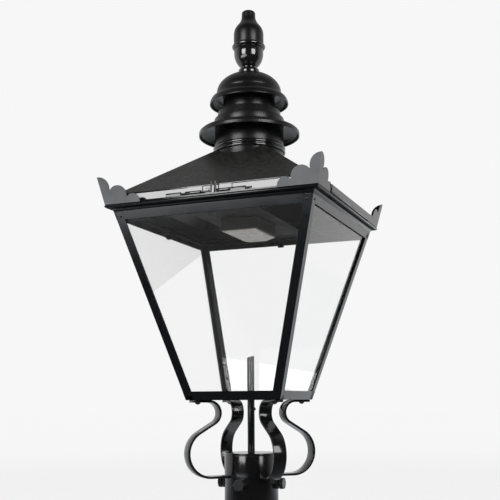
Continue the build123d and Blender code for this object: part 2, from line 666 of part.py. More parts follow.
def canopy_solid(inset=0.0):
    return bell(CANOPY_RADIUS - inset, CANOPY_CROWN_RADIUS, CANOPY_BASE, CANOPY_SPRING,
                CANOPY_TOP - inset)


def lower_canopy():
    vent = UPPER_NECK_RADIUS - STACK_SHEET
    return canopy_solid() - canopy_solid(STACK_SHEET) - rod(vent, CANOPY_BASE, CANOPY_TOP)


def step_tier(radius, top, inset=0.0):
    tier = rod(radius - inset, CANOPY_SPRING, top - inset)
    return fillet(tier.edges().group_by(Axis.Z)[-1], STEP_EDGE_ROUND)


def step_drum():
    tiers = [(LOWER_STEP_RADIUS, LOWER_STEP_TOP), (UPPER_STEP_RADIUS, UPPER_STEP_TOP)]
    drum = Part() + [step_tier(*tier) for tier in tiers]
    drum -= [step_tier(*tier, inset=STACK_SHEET) for tier in tiers]
    return drum - canopy_solid() - rod(UPPER_NECK_RADIUS, CANOPY_BASE, UPPER_STEP_TOP)


def upper_neck():
    top = BRIM_TOP - STACK_SHEET
    tube = rod(UPPER_NECK_RADIUS, CANOPY_TOP, top)
    return tube - rod(UPPER_NECK_RADIUS - STACK_SHEET, CANOPY_TOP, top)


def dome_brim():
    """A flared skirt under the dome, with a web that sits on the upper neck."""
    flare = bell(BRIM_RADIUS, BRIM_CROWN_RADIUS, BRIM_BASE, BRIM_BASE, BRIM_TOP)
    wall = rod(DOME_RADIUS, BRIM_TOP, DOME_BASE)
    wall -= rod(DOME_RADIUS - STACK_SHEET, BRIM_TOP, DOME_BASE)
    hollow = bell(BRIM_RADIUS - STACK_SHEET, BRIM_CROWN_RADIUS - STACK_SHEET, BRIM_BASE, BRIM_BASE,
                  BRIM_TOP - STACK_SHEET)
    return flare + wall - hollow - rod(UPPER_NECK_RADIUS - STACK_SHEET, BRIM_BASE, BRIM_TOP)


def dome():
    shell = bell(DOME_RADIUS, 0, DOME_BASE, DOME_BASE, DOME_TOP)
    inner = DOME_RADIUS - STACK_SHEET
    shell -= bell(inner, 0, DOME_BASE, DOME_BASE, DOME_TOP - STACK_SHEET)
    return shell - rod(ROD_RADIUS + ROD_CLEARANCE, DOME_BASE, DOME_TOP)


# Finial and tie rod

def rod_hole(low, high):
    return rod(ROD_RADIUS + ROD_CLEARANCE, low, high)


def finial_bowl():
    """A stem foot with a bowl above it that swells to a plumb rim."""
    foot = DOME_TOP + FINIAL_FOOT_RISE
    neck = DOME_TOP + FINIAL_NECK_RISE
    shoulder = DOME_TOP + FINIAL_BOWL_SHOULDER
    centre = FINIAL_BOWL_RADIUS - FINIAL_BOWL_CURVE
    turn = math.degrees(math.acos((FINIAL_NECK_RADIUS - centre) / FINIAL_BOWL_CURVE))
    side = CenterArc((centre, shoulder), FINIAL_BOWL_CURVE, -turn, turn)
    cove = EllipticalCenterArc((FINIAL_FOOT_RADIUS, neck), FINIAL_FOOT_RADIUS - FINIAL_NECK_RADIUS,
                               neck - foot, 2 * QUARTER_TURN_ANGLE, arc_size=QUARTER_TURN_ANGLE)
    bowl = turned(
        Line((0, FINIAL_RING_BASE), (0, DOME_BASE)),
        Line((0, DOME_BASE), (FINIAL_FOOT_RADIUS, DOME_BASE)),
        Line((FINIAL_FOOT_RADIUS, DOME_BASE), (FINIAL_FOOT_RADIUS, foot)), cove,
        Line((FINIAL_NECK_RADIUS, neck), side @ 0), side,
        Line((FINIAL_BOWL_RADIUS, shoulder), (FINIAL_BOWL_RADIUS, FINIAL_RING_BASE)),
        Line((FINIAL_BOWL_RADIUS, FINIAL_RING_BASE), (0, FINIAL_RING_BASE)))
    bowl -= bell(DOME_RADIUS, 0, DOME_BASE, DOME_BASE, DOME_TOP)
    return bowl - rod_hole(DOME_BASE, FINIAL_RING_BASE)


def finial_ring():
    round_half = FINIAL_RING_RISE / 2
    disc = rod(FINIAL_RING_RADIUS - round_half, FINIAL_RING_BASE, FINIAL_CAP_BASE)
    rim = Pos(FINIAL_RING_RADIUS - round_half, FINIAL_RING_BASE + round_half) * Circle(round_half)
    return disc + revolve(Plane.XZ * rim, Axis.Z) - rod_hole(FINIAL_RING_BASE, FINIAL_CAP_BASE)


def finial_cap():
    """A plumb drum that rounds over a shoulder and sweeps in to a blunt tip."""
    wall = FINIAL_CAP_BASE + FINIAL_CAP_WALL_RISE
    waist = FINIAL_CAP_BASE + FINIAL_CAP_WAIST_RISE
    tip = FINIAL_CAP_BASE + FINIAL_CAP_RISE
    sweep_in = Spline((FINIAL_CAP_RADIUS, wall), (FINIAL_CAP_WAIST_RADIUS, waist),
                      tangents=[(0, 1), (0, 1)], tangent_scalars=[FINIAL_SWEEP, FINIAL_SWEEP])
    body = turned(
        Line((0, tip), (0, FINIAL_CAP_BASE)),
        Line((0, FINIAL_CAP_BASE), (FINIAL_CAP_RADIUS, FINIAL_CAP_BASE)),
        Line((FINIAL_CAP_RADIUS, FINIAL_CAP_BASE), (FINIAL_CAP_RADIUS, wall)), sweep_in,
        Line((FINIAL_CAP_WAIST_RADIUS, waist), (FINIAL_CAP_WAIST_RADIUS, tip)),
        Line((FINIAL_CAP_WAIST_RADIUS, tip), (0, tip)))
    body = fillet(body.edges().group_by(Axis.Z)[-1], FINIAL_TIP_ROUND)
    return body - rod_hole(FINIAL_CAP_BASE, FINIAL_CAP_BASE + ROD_IN_CAP)


def tie_bridge():
    """A bar across the lower neck that the tie rod pulls against."""
    reach = NECK_RADIUS - NECK_SHEET
    bar = slab(REACH, BRIDGE_WIDTH / 2, COLLAR_LOW_BEAD, COLLAR_LOW_BEAD + BRIDGE_THICKNESS)
    bar &= rod(reach, EAVE_TOP, CANOPY_TOP)
    return bar - rod_hole(EAVE_TOP, CANOPY_TOP)


def tie_rod():
    return rod(ROD_RADIUS, COLLAR_LOW_BEAD - ROD_TAIL, FINIAL_CAP_BASE + ROD_IN_CAP)


def tie_nut():
    base = COLLAR_LOW_BEAD - ROD_NUT_THICKNESS
    nut = Pos(0, 0, base) * extrude(hexagon(ROD_NUT_ACROSS_FLATS), ROD_NUT_THICKNESS)
    return nut - rod_hole(base, COLLAR_LOW_BEAD)


# Quick-release hinge, drawn about its pin's axis and then moved to the front

def hinge_place():
    return Pos(0, -HINGE_FRONT, HINGE_LEVEL)


def block(x_range, y_range, z_range):
    low_x, high_x = x_range
    outline = Polygon((y_range[0], z_range[0]), (y_range[1], z_range[0]), (y_range[1], z_range[1]),
                      (y_range[0], z_range[1]), align=None)
    return along_x(outline, low_x, high_x - low_x)


def knuckle(x_range, leaf):
    """A rolled knuckle and its leaf, bored for the pin."""
    low, high = x_range
    roll = along_x(Circle(KNUCKLE_DIAMETER / 2), low, high - low)
    bore = along_x(Circle(PIN_RADIUS + PIN_CLEARANCE), low, high - low)
    return hinge_place() * (roll + leaf - bore)


def hinge_keeper(x_range):
    """A gallery knuckle: its leaf drops behind the upstand and turns in along the ledge."""
    radius = KNUCKLE_DIAMETER / 2
    drop = block(x_range, (-radius, -radius + KNUCKLE_SHEET), (-HINGE_RISE, 0))
    foot = block(x_range, (-radius, -radius + KEEPER_FOOT),
                 (-HINGE_RISE, -HINGE_RISE + KNUCKLE_SHEET))
    return knuckle(x_range, drop + foot)


def hinge_lug(x_range):
    """A roof knuckle: its leaf runs back to the skirt and up it to the eave."""
    radius = KNUCKLE_DIAMETER / 2
    up = EAVE_TOP - EAVE_EDGE - HINGE_LEVEL
    back = block(x_range, (0, HINGE_STANDOFF), (radius - KNUCKLE_SHEET, radius))
    plate = block(x_range, (HINGE_STANDOFF - KNUCKLE_SHEET, HINGE_STANDOFF),
                  (radius - KNUCKLE_SHEET, up))
    return knuckle(x_range, back + plate)


def bent_pin(grip, end, lean):
    """A round pin along the hinge's axis, bent up at its grip into a finger leg."""
    pin = along_x(Circle(PIN_RADIUS), min(grip, end), abs(end - grip))
    leg = Pos(grip, 0, 0) * Rot(0, lean, 0) * rod(PIN_RADIUS, 0, LEG_HEIGHT)
    return hinge_place() * (pin + leg + Pos(grip, 0, 0) * Sphere(PIN_RADIUS))


def hinge_pin():
    return bent_pin(PIN_GRIP, PIN_TAIL_END, -LEG_LEAN)


def hinge_bolt():
    return bent_pin(BOLT_GRIP, KEEPER_LEFT[1] - BOLT_ENGAGEMENT, LEG_LEAN)


def skirt_stud():
    stud = along_x(Circle(STUD_DIAMETER / 2) - Circle(STUD_BORE / 2), 0, STUD_THICKNESS)
    place = Pos(STUD_PLACE, -SKIRT_HALF, HINGE_LEVEL + STUD_RISE)
    return place * Rot(0, 0, SIDE_ANGLES["front"]) * stud


def lantern():
    bars = corner_bars()
    corner_crests = crests()
    pieces = {
        "post_sleeve": post_sleeve(), "sleeve_cap": sleeve_cap(), "clamp_nuts": clamp_nuts(),
        "strap_screws": strap_screws(), "conduit_stem": conduit_stem(), "earth_screw": earth_screw(),
        "bottom_frame": bottom_frame(bars), "top_rail": top_rail(bars),
        "corner_rivets": corner_rivets(), "glazing_clips": glazing_clips(), "gallery": gallery(),
        "gear_tray": gear_tray(), "gear_box": gear_box(), "led_diffuser": led_diffuser(),
        "gear_screws": gear_screws(), "hinge_keeper_left": hinge_keeper(KEEPER_LEFT),
        "hinge_keeper_right": hinge_keeper(KEEPER_RIGHT), "roof_lid": roof_lid(),
        "lower_neck": lower_neck(), "chimney_collar": chimney_collar(),
        "lower_canopy": lower_canopy(), "step_drum": step_drum(), "upper_neck": upper_neck(),
        "dome_brim": dome_brim(), "dome": dome(), "finial_bowl": finial_bowl(),
        "finial_ring": finial_ring(), "finial_cap": finial_cap(), "tie_bridge": tie_bridge(),
        "tie_rod": tie_rod(), "tie_nut": tie_nut(), "hinge_lug_left": hinge_lug(LUG_LEFT),
        "hinge_lug_right": hinge_lug(LUG_RIGHT), "hinge_pin": hinge_pin(),
        "hinge_bolt": hinge_bolt(), "skirt_stud": skirt_stud(),
    }
    for name, turn in CORNER_ANGLES.items():
        pieces["strap_" + name] = strap(turn)
        pieces["corner_bar_" + name] = drill_rivet_holes(bars[name])
        pieces["crest_" + name] = corner_crests[name]
    for name, turn in SIDE_ANGLES.items():
        pieces["glass_pane_" + name] = glass_pane(turn)
        pieces["clamp_bolt_" + name] = clamp_bolt(turn)
        if name != "front":
            pieces["side_strip_" + name] = side_strip(turn, corner_crests)
    return pieces


os.makedirs("parts", exist_ok=True)
for node, solid in lantern().items():
    export_step(solid, "parts/" + node + ".step")
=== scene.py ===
# %% [markdown]
# # A post top lantern
# The construction comes from the imported frame: every piece at its real size, in metres, with
# +Z up and the centre of the post sleeve's mouth at the origin. This script gives the lantern
# its looks. It starts by loading that frame.

# %% Load the frame
import json
import math

import bpy
from mathutils import Matrix, Vector

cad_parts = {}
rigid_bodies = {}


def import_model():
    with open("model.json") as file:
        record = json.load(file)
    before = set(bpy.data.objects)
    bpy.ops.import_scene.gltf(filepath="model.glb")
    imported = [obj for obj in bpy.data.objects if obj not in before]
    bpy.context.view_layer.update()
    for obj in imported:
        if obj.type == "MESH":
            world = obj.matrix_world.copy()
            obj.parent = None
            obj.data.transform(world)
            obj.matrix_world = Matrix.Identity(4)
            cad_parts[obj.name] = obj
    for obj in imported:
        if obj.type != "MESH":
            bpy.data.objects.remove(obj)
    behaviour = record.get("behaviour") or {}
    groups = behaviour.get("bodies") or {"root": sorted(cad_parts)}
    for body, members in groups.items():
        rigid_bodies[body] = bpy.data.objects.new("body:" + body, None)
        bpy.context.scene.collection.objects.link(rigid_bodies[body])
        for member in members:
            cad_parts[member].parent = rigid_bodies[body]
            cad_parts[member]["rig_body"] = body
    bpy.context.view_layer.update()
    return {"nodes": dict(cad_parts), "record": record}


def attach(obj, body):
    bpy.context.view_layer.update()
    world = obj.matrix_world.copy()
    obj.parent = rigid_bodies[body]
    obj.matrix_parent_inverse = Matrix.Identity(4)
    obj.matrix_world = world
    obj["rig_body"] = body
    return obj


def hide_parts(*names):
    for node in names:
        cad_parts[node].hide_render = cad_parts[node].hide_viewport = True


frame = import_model()
bpy.ops.object.select_all(action="DESELECT")

# %% [markdown]
# ## The camera
# The photograph looks up at the lantern from in front and a little to its right. The camera's
# place follows from that: its distance, its height above the sleeve's mouth, how far it is
# turned round the lantern, and how far it tips up. A lens angle of 32 degrees fills the frame.

# %% Camera
CAMERA_DISTANCE = 1.4737        # from the lantern's axis
CAMERA_HEIGHT = 0.2015
CAMERA_ROUND = math.radians(21.82)
CAMERA_TIP = math.radians(9.99)
CAMERA_ROLL = math.radians(-0.37)
CAMERA_LENS_ANGLE = math.radians(32.31)

camera_data = bpy.data.cameras.new("camera")
camera_data.angle = CAMERA_LENS_ANGLE
camera_data.clip_start = 0.05
camera = bpy.data.objects.new("camera", camera_data)
bpy.context.scene.collection.objects.link(camera)
camera.location = (CAMERA_DISTANCE * math.sin(CAMERA_ROUND),
                   -CAMERA_DISTANCE * math.cos(CAMERA_ROUND), CAMERA_HEIGHT)
turn = Matrix.Rotation(CAMERA_ROUND, 4, "Z") @ Matrix.Rotation(math.pi / 2 + CAMERA_TIP, 4, "X")
turn = turn @ Matrix.Rotation(CAMERA_ROLL, 4, "Z")
camera.rotation_euler = turn.to_euler()
bpy.context.scene.camera = camera
print("camera", tuple(round(v, 3) for v in camera.location))

# %% [markdown]
# ## The floor and the surroundings
# A glossy black object has hardly any colour of its own. What the eye sees is what it mirrors:
# two square softboxes on the camera's side, a pale backdrop behind, and a dim studio behind the
# camera. So the surroundings are made with as much care as the paint, and the Light Path node
# tells who is looking. The camera and the glass see an even, pale backdrop. What the paint
# mirrors fades from that backdrop to the dark room in front. Matt surfaces get a plain, soft
# fill. A ray that glass lets through counts as glossy too, so a reflection is a ray that is
# glossy and isn't transmitted.

# %% A helper for shader nodes
def add_node(tree, kind, values=None, **settings):
    """Add a node, set its own settings, and give its named or numbered sockets plain values."""
    node = tree.nodes.new(kind)
    for setting, value in settings.items():
        setattr(node, setting, value)
    for socket, value in (values or {}).items():
        node.inputs[socket].default_value = value
    return node


def join(tree, *pairs):
    """Connect output sockets to input sockets, pair by pair."""
    for source, target in pairs:
        tree.links.new(source, target)


# %% Helpers for what is seen and what is mirrored
def fade(tree, start, end, before, after):
    """Change smoothly from one value to another while the input goes from start to end."""
    return add_node(tree, "ShaderNodeMapRange", {"From Min": start, "From Max": end,
                                                 "To Min": before, "To Max": after},
                    interpolation_type="SMOOTHSTEP")


def sort_rays(tree):
    """Two sockets: 1 for a ray from the camera or through the glass, and 1 for a reflection."""
    ray = add_node(tree, "ShaderNodeLightPath")
    direct = add_node(tree, "ShaderNodeMath", operation="MAXIMUM")
    reflected = add_node(tree, "ShaderNodeMath", operation="GREATER_THAN")
    join(tree, (ray.outputs["Is Camera Ray"], direct.inputs[0]),
         (ray.outputs["Is Transmission Ray"], direct.inputs[1]),
         (ray.outputs["Is Glossy Ray"], reflected.inputs[0]),
         (ray.outputs["Is Transmission Ray"], reflected.inputs[1]))
    return direct.outputs[0], reflected.outputs[0]


# %% World
TOWARDS_CAMERA = (math.sin(CAMERA_ROUND), -math.cos(CAMERA_ROUND), 0)
BACKDROP = 0.93                 # how pale the backdrop shows, where 1 is white
STUDIO = 0.05                   # the dim room behind the camera, as the paint mirrors it
ROOM_FADE = (-0.35, 0.45)       # from the backdrop to the room, 1 being straight to the camera
CEILING = 0.38                  # the studio's ceiling, as the paint mirrors it
CEILING_FADE = (0.15, 0.75)     # from the walls to the ceiling, 1 being straight up
FILL = 0.36                     # soft light from all round

bpy.context.scene.view_settings.view_transform = "Standard"
world = bpy.data.worlds.new("studio")
bpy.context.scene.world = world
world.use_nodes = True
tree = world.node_tree
tree.nodes.clear()
place = add_node(tree, "ShaderNodeTexCoord")
in_front = add_node(tree, "ShaderNodeVectorMath", {1: TOWARDS_CAMERA}, operation="DOT_PRODUCT")
room = fade(tree, *ROOM_FADE, BACKDROP, STUDIO)
split = add_node(tree, "ShaderNodeSeparateXYZ")
overhead = fade(tree, *CEILING_FADE, 1.0, CEILING / BACKDROP)
mirrored = add_node(tree, "ShaderNodeMath", operation="MULTIPLY")
direct, reflected = sort_rays(tree)
pale = add_node(tree, "ShaderNodeMix", {"A": FILL, "B": BACKDROP}, data_type="FLOAT")
shown = add_node(tree, "ShaderNodeMix", data_type="FLOAT")
sky = add_node(tree, "ShaderNodeBackground", {"Color": (1.0, 1.0, 1.0, 1)})
out = add_node(tree, "ShaderNodeOutputWorld")
join(tree, (place.outputs["Generated"], in_front.inputs[0]),
     (in_front.outputs["Value"], room.inputs["Value"]),
     (place.outputs["Generated"], split.inputs[0]), (split.outputs["Z"], overhead.inputs["Value"]),
     (room.outputs["Result"], mirrored.inputs[0]),
     (overhead.outputs["Result"], mirrored.inputs[1]),
     (direct, pale.inputs["Factor"]), (pale.outputs["Result"], shown.inputs["A"]),
     (reflected, shown.inputs["Factor"]), (mirrored.outputs[0], shown.inputs["B"]),
     (shown.outputs["Result"], sky.inputs["Strength"]), (sky.outputs[0], out.inputs["Surface"]))
print("world", len(tree.nodes), "nodes")

# %% [markdown]
# The two softboxes stand about forty degrees to the left and right of the camera, a little
# above the lantern's middle. Each is square, so the finial carries two small square lights.
# A third lamp, high behind, only lifts the roof and the ledges, and nothing mirrors it.

# %% Lamps
MIDDLE_LEVEL = 0.5              # the lantern's middle, which the lamps aim at


def softbox(name, turn, rise, distance, size, watts, mirrored=True):
    """A square area lamp at a turn from the camera's direction, aimed at the lantern's middle."""
    aim = Vector((0, 0, MIDDLE_LEVEL))
    angle = CAMERA_ROUND + math.radians(turn)
    level = math.radians(rise)
    offset = Vector((math.sin(angle) * math.cos(level), -math.cos(angle) * math.cos(level),
                     math.sin(level)))
    bpy.ops.object.light_add(type="AREA", location=aim + offset * distance)
    lamp = bpy.context.object
    lamp.name = name
    lamp.data.shape = "SQUARE"
    lamp.data.size = size
    lamp.data.energy = watts
    lamp.rotation_euler = offset.to_track_quat("Z", "Y").to_euler()
    lamp.visible_camera = False
    lamp.visible_glossy = mirrored
    lamp.visible_transmission = mirrored
    print(name, [round(v, 2) for v in lamp.location], watts, "W")
    return lamp


softbox("softbox_left", -40, 16, 2.4, 1.15, 32)
softbox("softbox_right", 36, 15, 2.4, 1.15, 30)
softbox("overhead", 180, 62, 2.8, 2.0, 16, mirrored=False)

# %% [markdown]
# The floor is a wide disc at the level of the sleeve's mouth. It is pale, and for the camera most
# of it glows at the backdrop's own level, so that floor and backdrop meet without a line, while
# the rest still takes the lantern's shadow. Farther out it only glows, because the lamps would
# draw a band on it. The paint mirrors another floor: pale behind the lantern, painted shade in
# front, and a painted pool of light in one patch, where the left softbox would light the floor;
# that patch glows with no lamp in it. Undersides, ledges and crests show that patch.

# %% Floor
FLOOR_RADIUS = 14.0
FLOOR_DROP = 0.0005             # how far the floor lies below the sleeve's mouth
FLOOR_COLOUR = (0.87, 0.87, 0.87, 1)
FLOOR_GLOW = 0.9                # the share of the floor's look that glows, near the lantern
LAMP_FADE = (0.9, 2.4)          # metres from the lantern over which that share grows to all
FLOOR_NEAR = 0.91               # the glow that the camera and the glass see near the lantern
FLOOR_FAR = 0.925               # and far off
FAR_FADE = (0.3, 5.0)
FLOOR_BEHIND = 0.85             # the floor behind the lantern, as the paint mirrors it
FLOOR_PAINTED_SHADE = 0.04               # painted shade: the floor in front, shown unlit, as the paint mirrors it
FRONT_FADE = (-0.5, 0.3)        # metres towards the camera
FLOOR_PAINTED_LIGHT = 3.9                 # a painted pool of light, glowing where the left softbox would light the floor, as the paint mirrors it
# the middle of that painted pool of light
PAINTED_LIGHT_PATCH = (-1.35, -3.3, 0.0)
PATCH_FADE = (1.2, 2.0)         # metres from the patch's middle
MIRRORED_TINT = (0.93, 0.965, 1.0, 1)

bpy.ops.mesh.primitive_circle_add(vertices=96, radius=FLOOR_RADIUS, fill_type="NGON")
floor = bpy.context.object
floor.name = "floor"
floor.location.z = -FLOOR_DROP
floor_finish = bpy.data.materials.new("floor_pale")
floor_finish.use_nodes = True
tree = floor_finish.node_tree
tree.nodes.clear()
matt = add_node(tree, "ShaderNodeBsdfDiffuse", {"Color": FLOOR_COLOUR})
glow = add_node(tree, "ShaderNodeEmission")
tint = add_node(tree, "ShaderNodeMix", {"A": (1.0, 1.0, 1.0, 1), "B": MIRRORED_TINT},
                data_type="RGBA")
blend = add_node(tree, "ShaderNodeMixShader")
out = add_node(tree, "ShaderNodeOutputMaterial")
print("floor", FLOOR_RADIUS, "m")

# %% What the floor shows to the camera and to the paint
place = add_node(tree, "ShaderNodeTexCoord")
ahead = add_node(tree, "ShaderNodeVectorMath", {1: TOWARDS_CAMERA}, operation="DOT_PRODUCT")
away = add_node(tree, "ShaderNodeVectorMath", operation="LENGTH")
from_patch = add_node(tree, "ShaderNodeVectorMath", {1: PAINTED_LIGHT_PATCH}, operation="DISTANCE")
# Painted light and shade that only reflections see: a glowing patch where the left softbox would
# light the floor, and painted shade on the floor in front.
painted_light = fade(tree, *PATCH_FADE, FLOOR_PAINTED_LIGHT, FLOOR_PAINTED_SHADE)
dimmer = fade(tree, *FRONT_FADE, FLOOR_BEHIND, FLOOR_PAINTED_SHADE)
shown = fade(tree, *FAR_FADE, FLOOR_NEAR, FLOOR_FAR)
lamp_free = fade(tree, *LAMP_FADE, FLOOR_GLOW, 1.0)
direct, reflected = sort_rays(tree)
strength = add_node(tree, "ShaderNodeMix", data_type="FLOAT")
share = add_node(tree, "ShaderNodeMath", operation="MULTIPLY")
whole = add_node(tree, "ShaderNodeMath", operation="MAXIMUM")
join(tree, (place.outputs["Object"], ahead.inputs[0]), (place.outputs["Object"], away.inputs[0]),
     (place.outputs["Object"], from_patch.inputs[0]),
     (from_patch.outputs["Value"], painted_light.inputs["Value"]),
     (painted_light.outputs["Result"], dimmer.inputs["To Max"]),
     (ahead.outputs["Value"], dimmer.inputs["Value"]),
     (away.outputs["Value"], shown.inputs["Value"]),
     (away.outputs["Value"], lamp_free.inputs["Value"]),
     (reflected, strength.inputs["Factor"]), (shown.outputs["Result"], strength.inputs["A"]),
     (dimmer.outputs["Result"], strength.inputs["B"]), (reflected, tint.inputs["Factor"]),
     (tint.outputs[2], glow.inputs["Color"]), (strength.outputs["Result"], glow.inputs["Strength"]),
     (direct, share.inputs[0]), (lamp_free.outputs["Result"], share.inputs[1]),
     (share.outputs[0], whole.inputs[0]), (reflected, whole.inputs[1]),
     (whole.outputs[0], blend.inputs["Fac"]), (matt.outputs[0], blend.inputs[1]),
     (glow.outputs[0], blend.inputs[2]), (blend.outputs[0], out.inputs["Surface"]))
floor.data.materials.append(floor_finish)
print("floor finish", len(tree.nodes), "nodes")

# %% [markdown]
# ## Finishes
# Everything but the glass is black paint, so the differences lie in the surface. Sprayed paint
# dries with a fine skin like orange peel, and thin sheet under it is never quite flat, which
# makes the mirrored light wander. Both effects go into one node group, so that every paint can
# have its own mixture. A second group gives the thin film of dust that settles on what faces
# up, and a third finds sharp edges, where handling wears paint off bolts and straps.

# %% Node group: the skin of sprayed paint
def new_group(name, inputs, outputs):
    """An empty node group with float or vector inputs and float outputs."""
    group = bpy.data.node_groups.new(name, "ShaderNodeTree")
    for title, kind, value in inputs:
        socket = group.interface.new_socket(title, in_out="INPUT", socket_type=kind)
        if value is not None:
            socket.default_value = value
    for title in outputs:
        group.interface.new_socket(title, in_out="OUTPUT", socket_type="NodeSocketFloat")
    return group, group.nodes.new("NodeGroupInput"), group.nodes.new("NodeGroupOutput")


FLOAT, VECTOR = "NodeSocketFloat", "NodeSocketVector"
paint_skin, given, result = new_group(
    "paint_skin",
    [("Vector", VECTOR, None), ("Peel Scale", FLOAT, 650.0), ("Wave Scale", FLOAT, 45.0),
     ("Wave Share", FLOAT, 0.5), ("Smooth", FLOAT, 0.12), ("Dull", FLOAT, 0.25)],
    ["Height", "Roughness"])
peel = add_node(paint_skin, "ShaderNodeTexNoise", {"Detail": 2.0, "Roughness": 0.5})
wave = add_node(paint_skin, "ShaderNodeTexNoise", {"Detail": 1.0, "Roughness": 0.4})
mixed = add_node(paint_skin, "ShaderNodeMix", data_type="FLOAT")
cloud = add_node(paint_skin, "ShaderNodeTexNoise", {"Scale": 22.0, "Detail": 5.0, "Roughness": 0.6})
sheen = add_node(paint_skin, "ShaderNodeMapRange", {"From Min": 0.35, "From Max": 0.7})
join(paint_skin, (given.outputs["Vector"], peel.inputs["Vector"]),
     (given.outputs["Peel Scale"], peel.inputs["Scale"]),
     (given.outputs["Vector"], wave.inputs["Vector"]),
     (given.outputs["Wave Scale"], wave.inputs["Scale"]),
     (given.outputs["Wave Share"], mixed.inputs["Factor"]),
     (peel.outputs[0], mixed.inputs["A"]), (wave.outputs[0], mixed.inputs["B"]),
     (mixed.outputs["Result"], result.inputs["Height"]),
     (given.outputs["Vector"], cloud.inputs["Vector"]), (cloud.outputs[0], sheen.inputs["Value"]),
     (given.outputs["Smooth"], sheen.inputs["To Min"]),
     (given.outputs["Dull"], sheen.inputs["To Max"]),
     (sheen.outputs["Result"], result.inputs["Roughness"]))
print("group", paint_skin.name, len(paint_skin.nodes), "nodes")

# %% Node group: dust that settles on what faces up
settled_dust, given, result = new_group(
    "settled_dust",
    [("Vector", VECTOR, None), ("Amount", FLOAT, 0.3), ("Grain", FLOAT, 160.0)], ["Mask"])
facing = add_node(settled_dust, "ShaderNodeNewGeometry")
up = add_node(settled_dust, "ShaderNodeSeparateXYZ")
level = add_node(settled_dust, "ShaderNodeMapRange", {"From Min": 0.55, "From Max": 1.0})
specks = add_node(settled_dust, "ShaderNodeTexNoise", {"Detail": 6.0, "Roughness": 0.65})
patchy = add_node(settled_dust, "ShaderNodeMapRange", {"From Min": 0.4, "From Max": 0.75})
both = add_node(settled_dust, "ShaderNodeMath", operation="MULTIPLY")
scaled = add_node(settled_dust, "ShaderNodeMath", operation="MULTIPLY")
join(settled_dust, (facing.outputs["Normal"], up.inputs[0]),
     (up.outputs["Z"], level.inputs["Value"]), (level.outputs["Result"], both.inputs[0]),
     (given.outputs["Vector"], specks.inputs["Vector"]),
     (given.outputs["Grain"], specks.inputs["Scale"]), (specks.outputs[0], patchy.inputs["Value"]),
     (patchy.outputs["Result"], both.inputs[1]), (both.outputs[0], scaled.inputs[0]),
     (given.outputs["Amount"], scaled.inputs[1]), (scaled.outputs[0], result.inputs["Mask"]))
print("group", settled_dust.name, len(settled_dust.nodes), "nodes")

# %% Node group: paint rubbed thin along sharp edges
rubbed_edge, given, result = new_group(
    "rubbed_edge",
    [("Vector", VECTOR, None), ("Width", FLOAT, 0.0006), ("Breaks", FLOAT, 400.0)], ["Mask"])
rounded = add_node(rubbed_edge, "ShaderNodeBevel", samples=6)
true = add_node(rubbed_edge, "ShaderNodeNewGeometry")
agree = add_node(rubbed_edge, "ShaderNodeVectorMath", operation="DOT_PRODUCT")
bent = add_node(rubbed_edge, "ShaderNodeMapRange", {"From Min": 0.97, "From Max": 0.8})
chips = add_node(rubbed_edge, "ShaderNodeTexNoise", {"Detail": 4.0})
broken = add_node(rubbed_edge, "ShaderNodeMapRange", {"From Min": 0.42, "From Max": 0.62})
kept = add_node(rubbed_edge, "ShaderNodeMath", operation="MULTIPLY")
join(rubbed_edge, (given.outputs["Width"], rounded.inputs["Radius"]),
     (rounded.outputs[0], agree.inputs[0]), (true.outputs["Normal"], agree.inputs[1]),
     (agree.outputs["Value"], bent.inputs["Value"]),
     (given.outputs["Vector"], chips.inputs["Vector"]),
     (given.outputs["Breaks"], chips.inputs["Scale"]), (chips.outputs[0], broken.inputs["Value"]),
     (bent.outputs["Result"], kept.inputs[0]), (broken.outputs["Result"], kept.inputs[1]),
     (kept.outputs[0], result.inputs["Mask"]))
print("group", rubbed_edge.name, len(rubbed_edge.nodes), "nodes")

# %% [markdown]
# Each paint is one Principled shader with a nearly black base. Its gloss is the shader's own
# reflection, stronger with a higher IOR, and the groups drive colour, roughness and a shallow
# bump. The values differ by where the paint is. The crests and the roof's skirt shine most, the
# ventilator is satin, the roof's slopes are dull with dust, and the faces that look down or in at
# the glass are hardly polished at all. Only the straps and bolts are touched by tools, so only
# they are rubbed along their edges.

# %% Paints
DUST = (0.05, 0.048, 0.044, 1)
RUBBED = (0.09, 0.088, 0.085, 1)    # what shows where the paint is thin


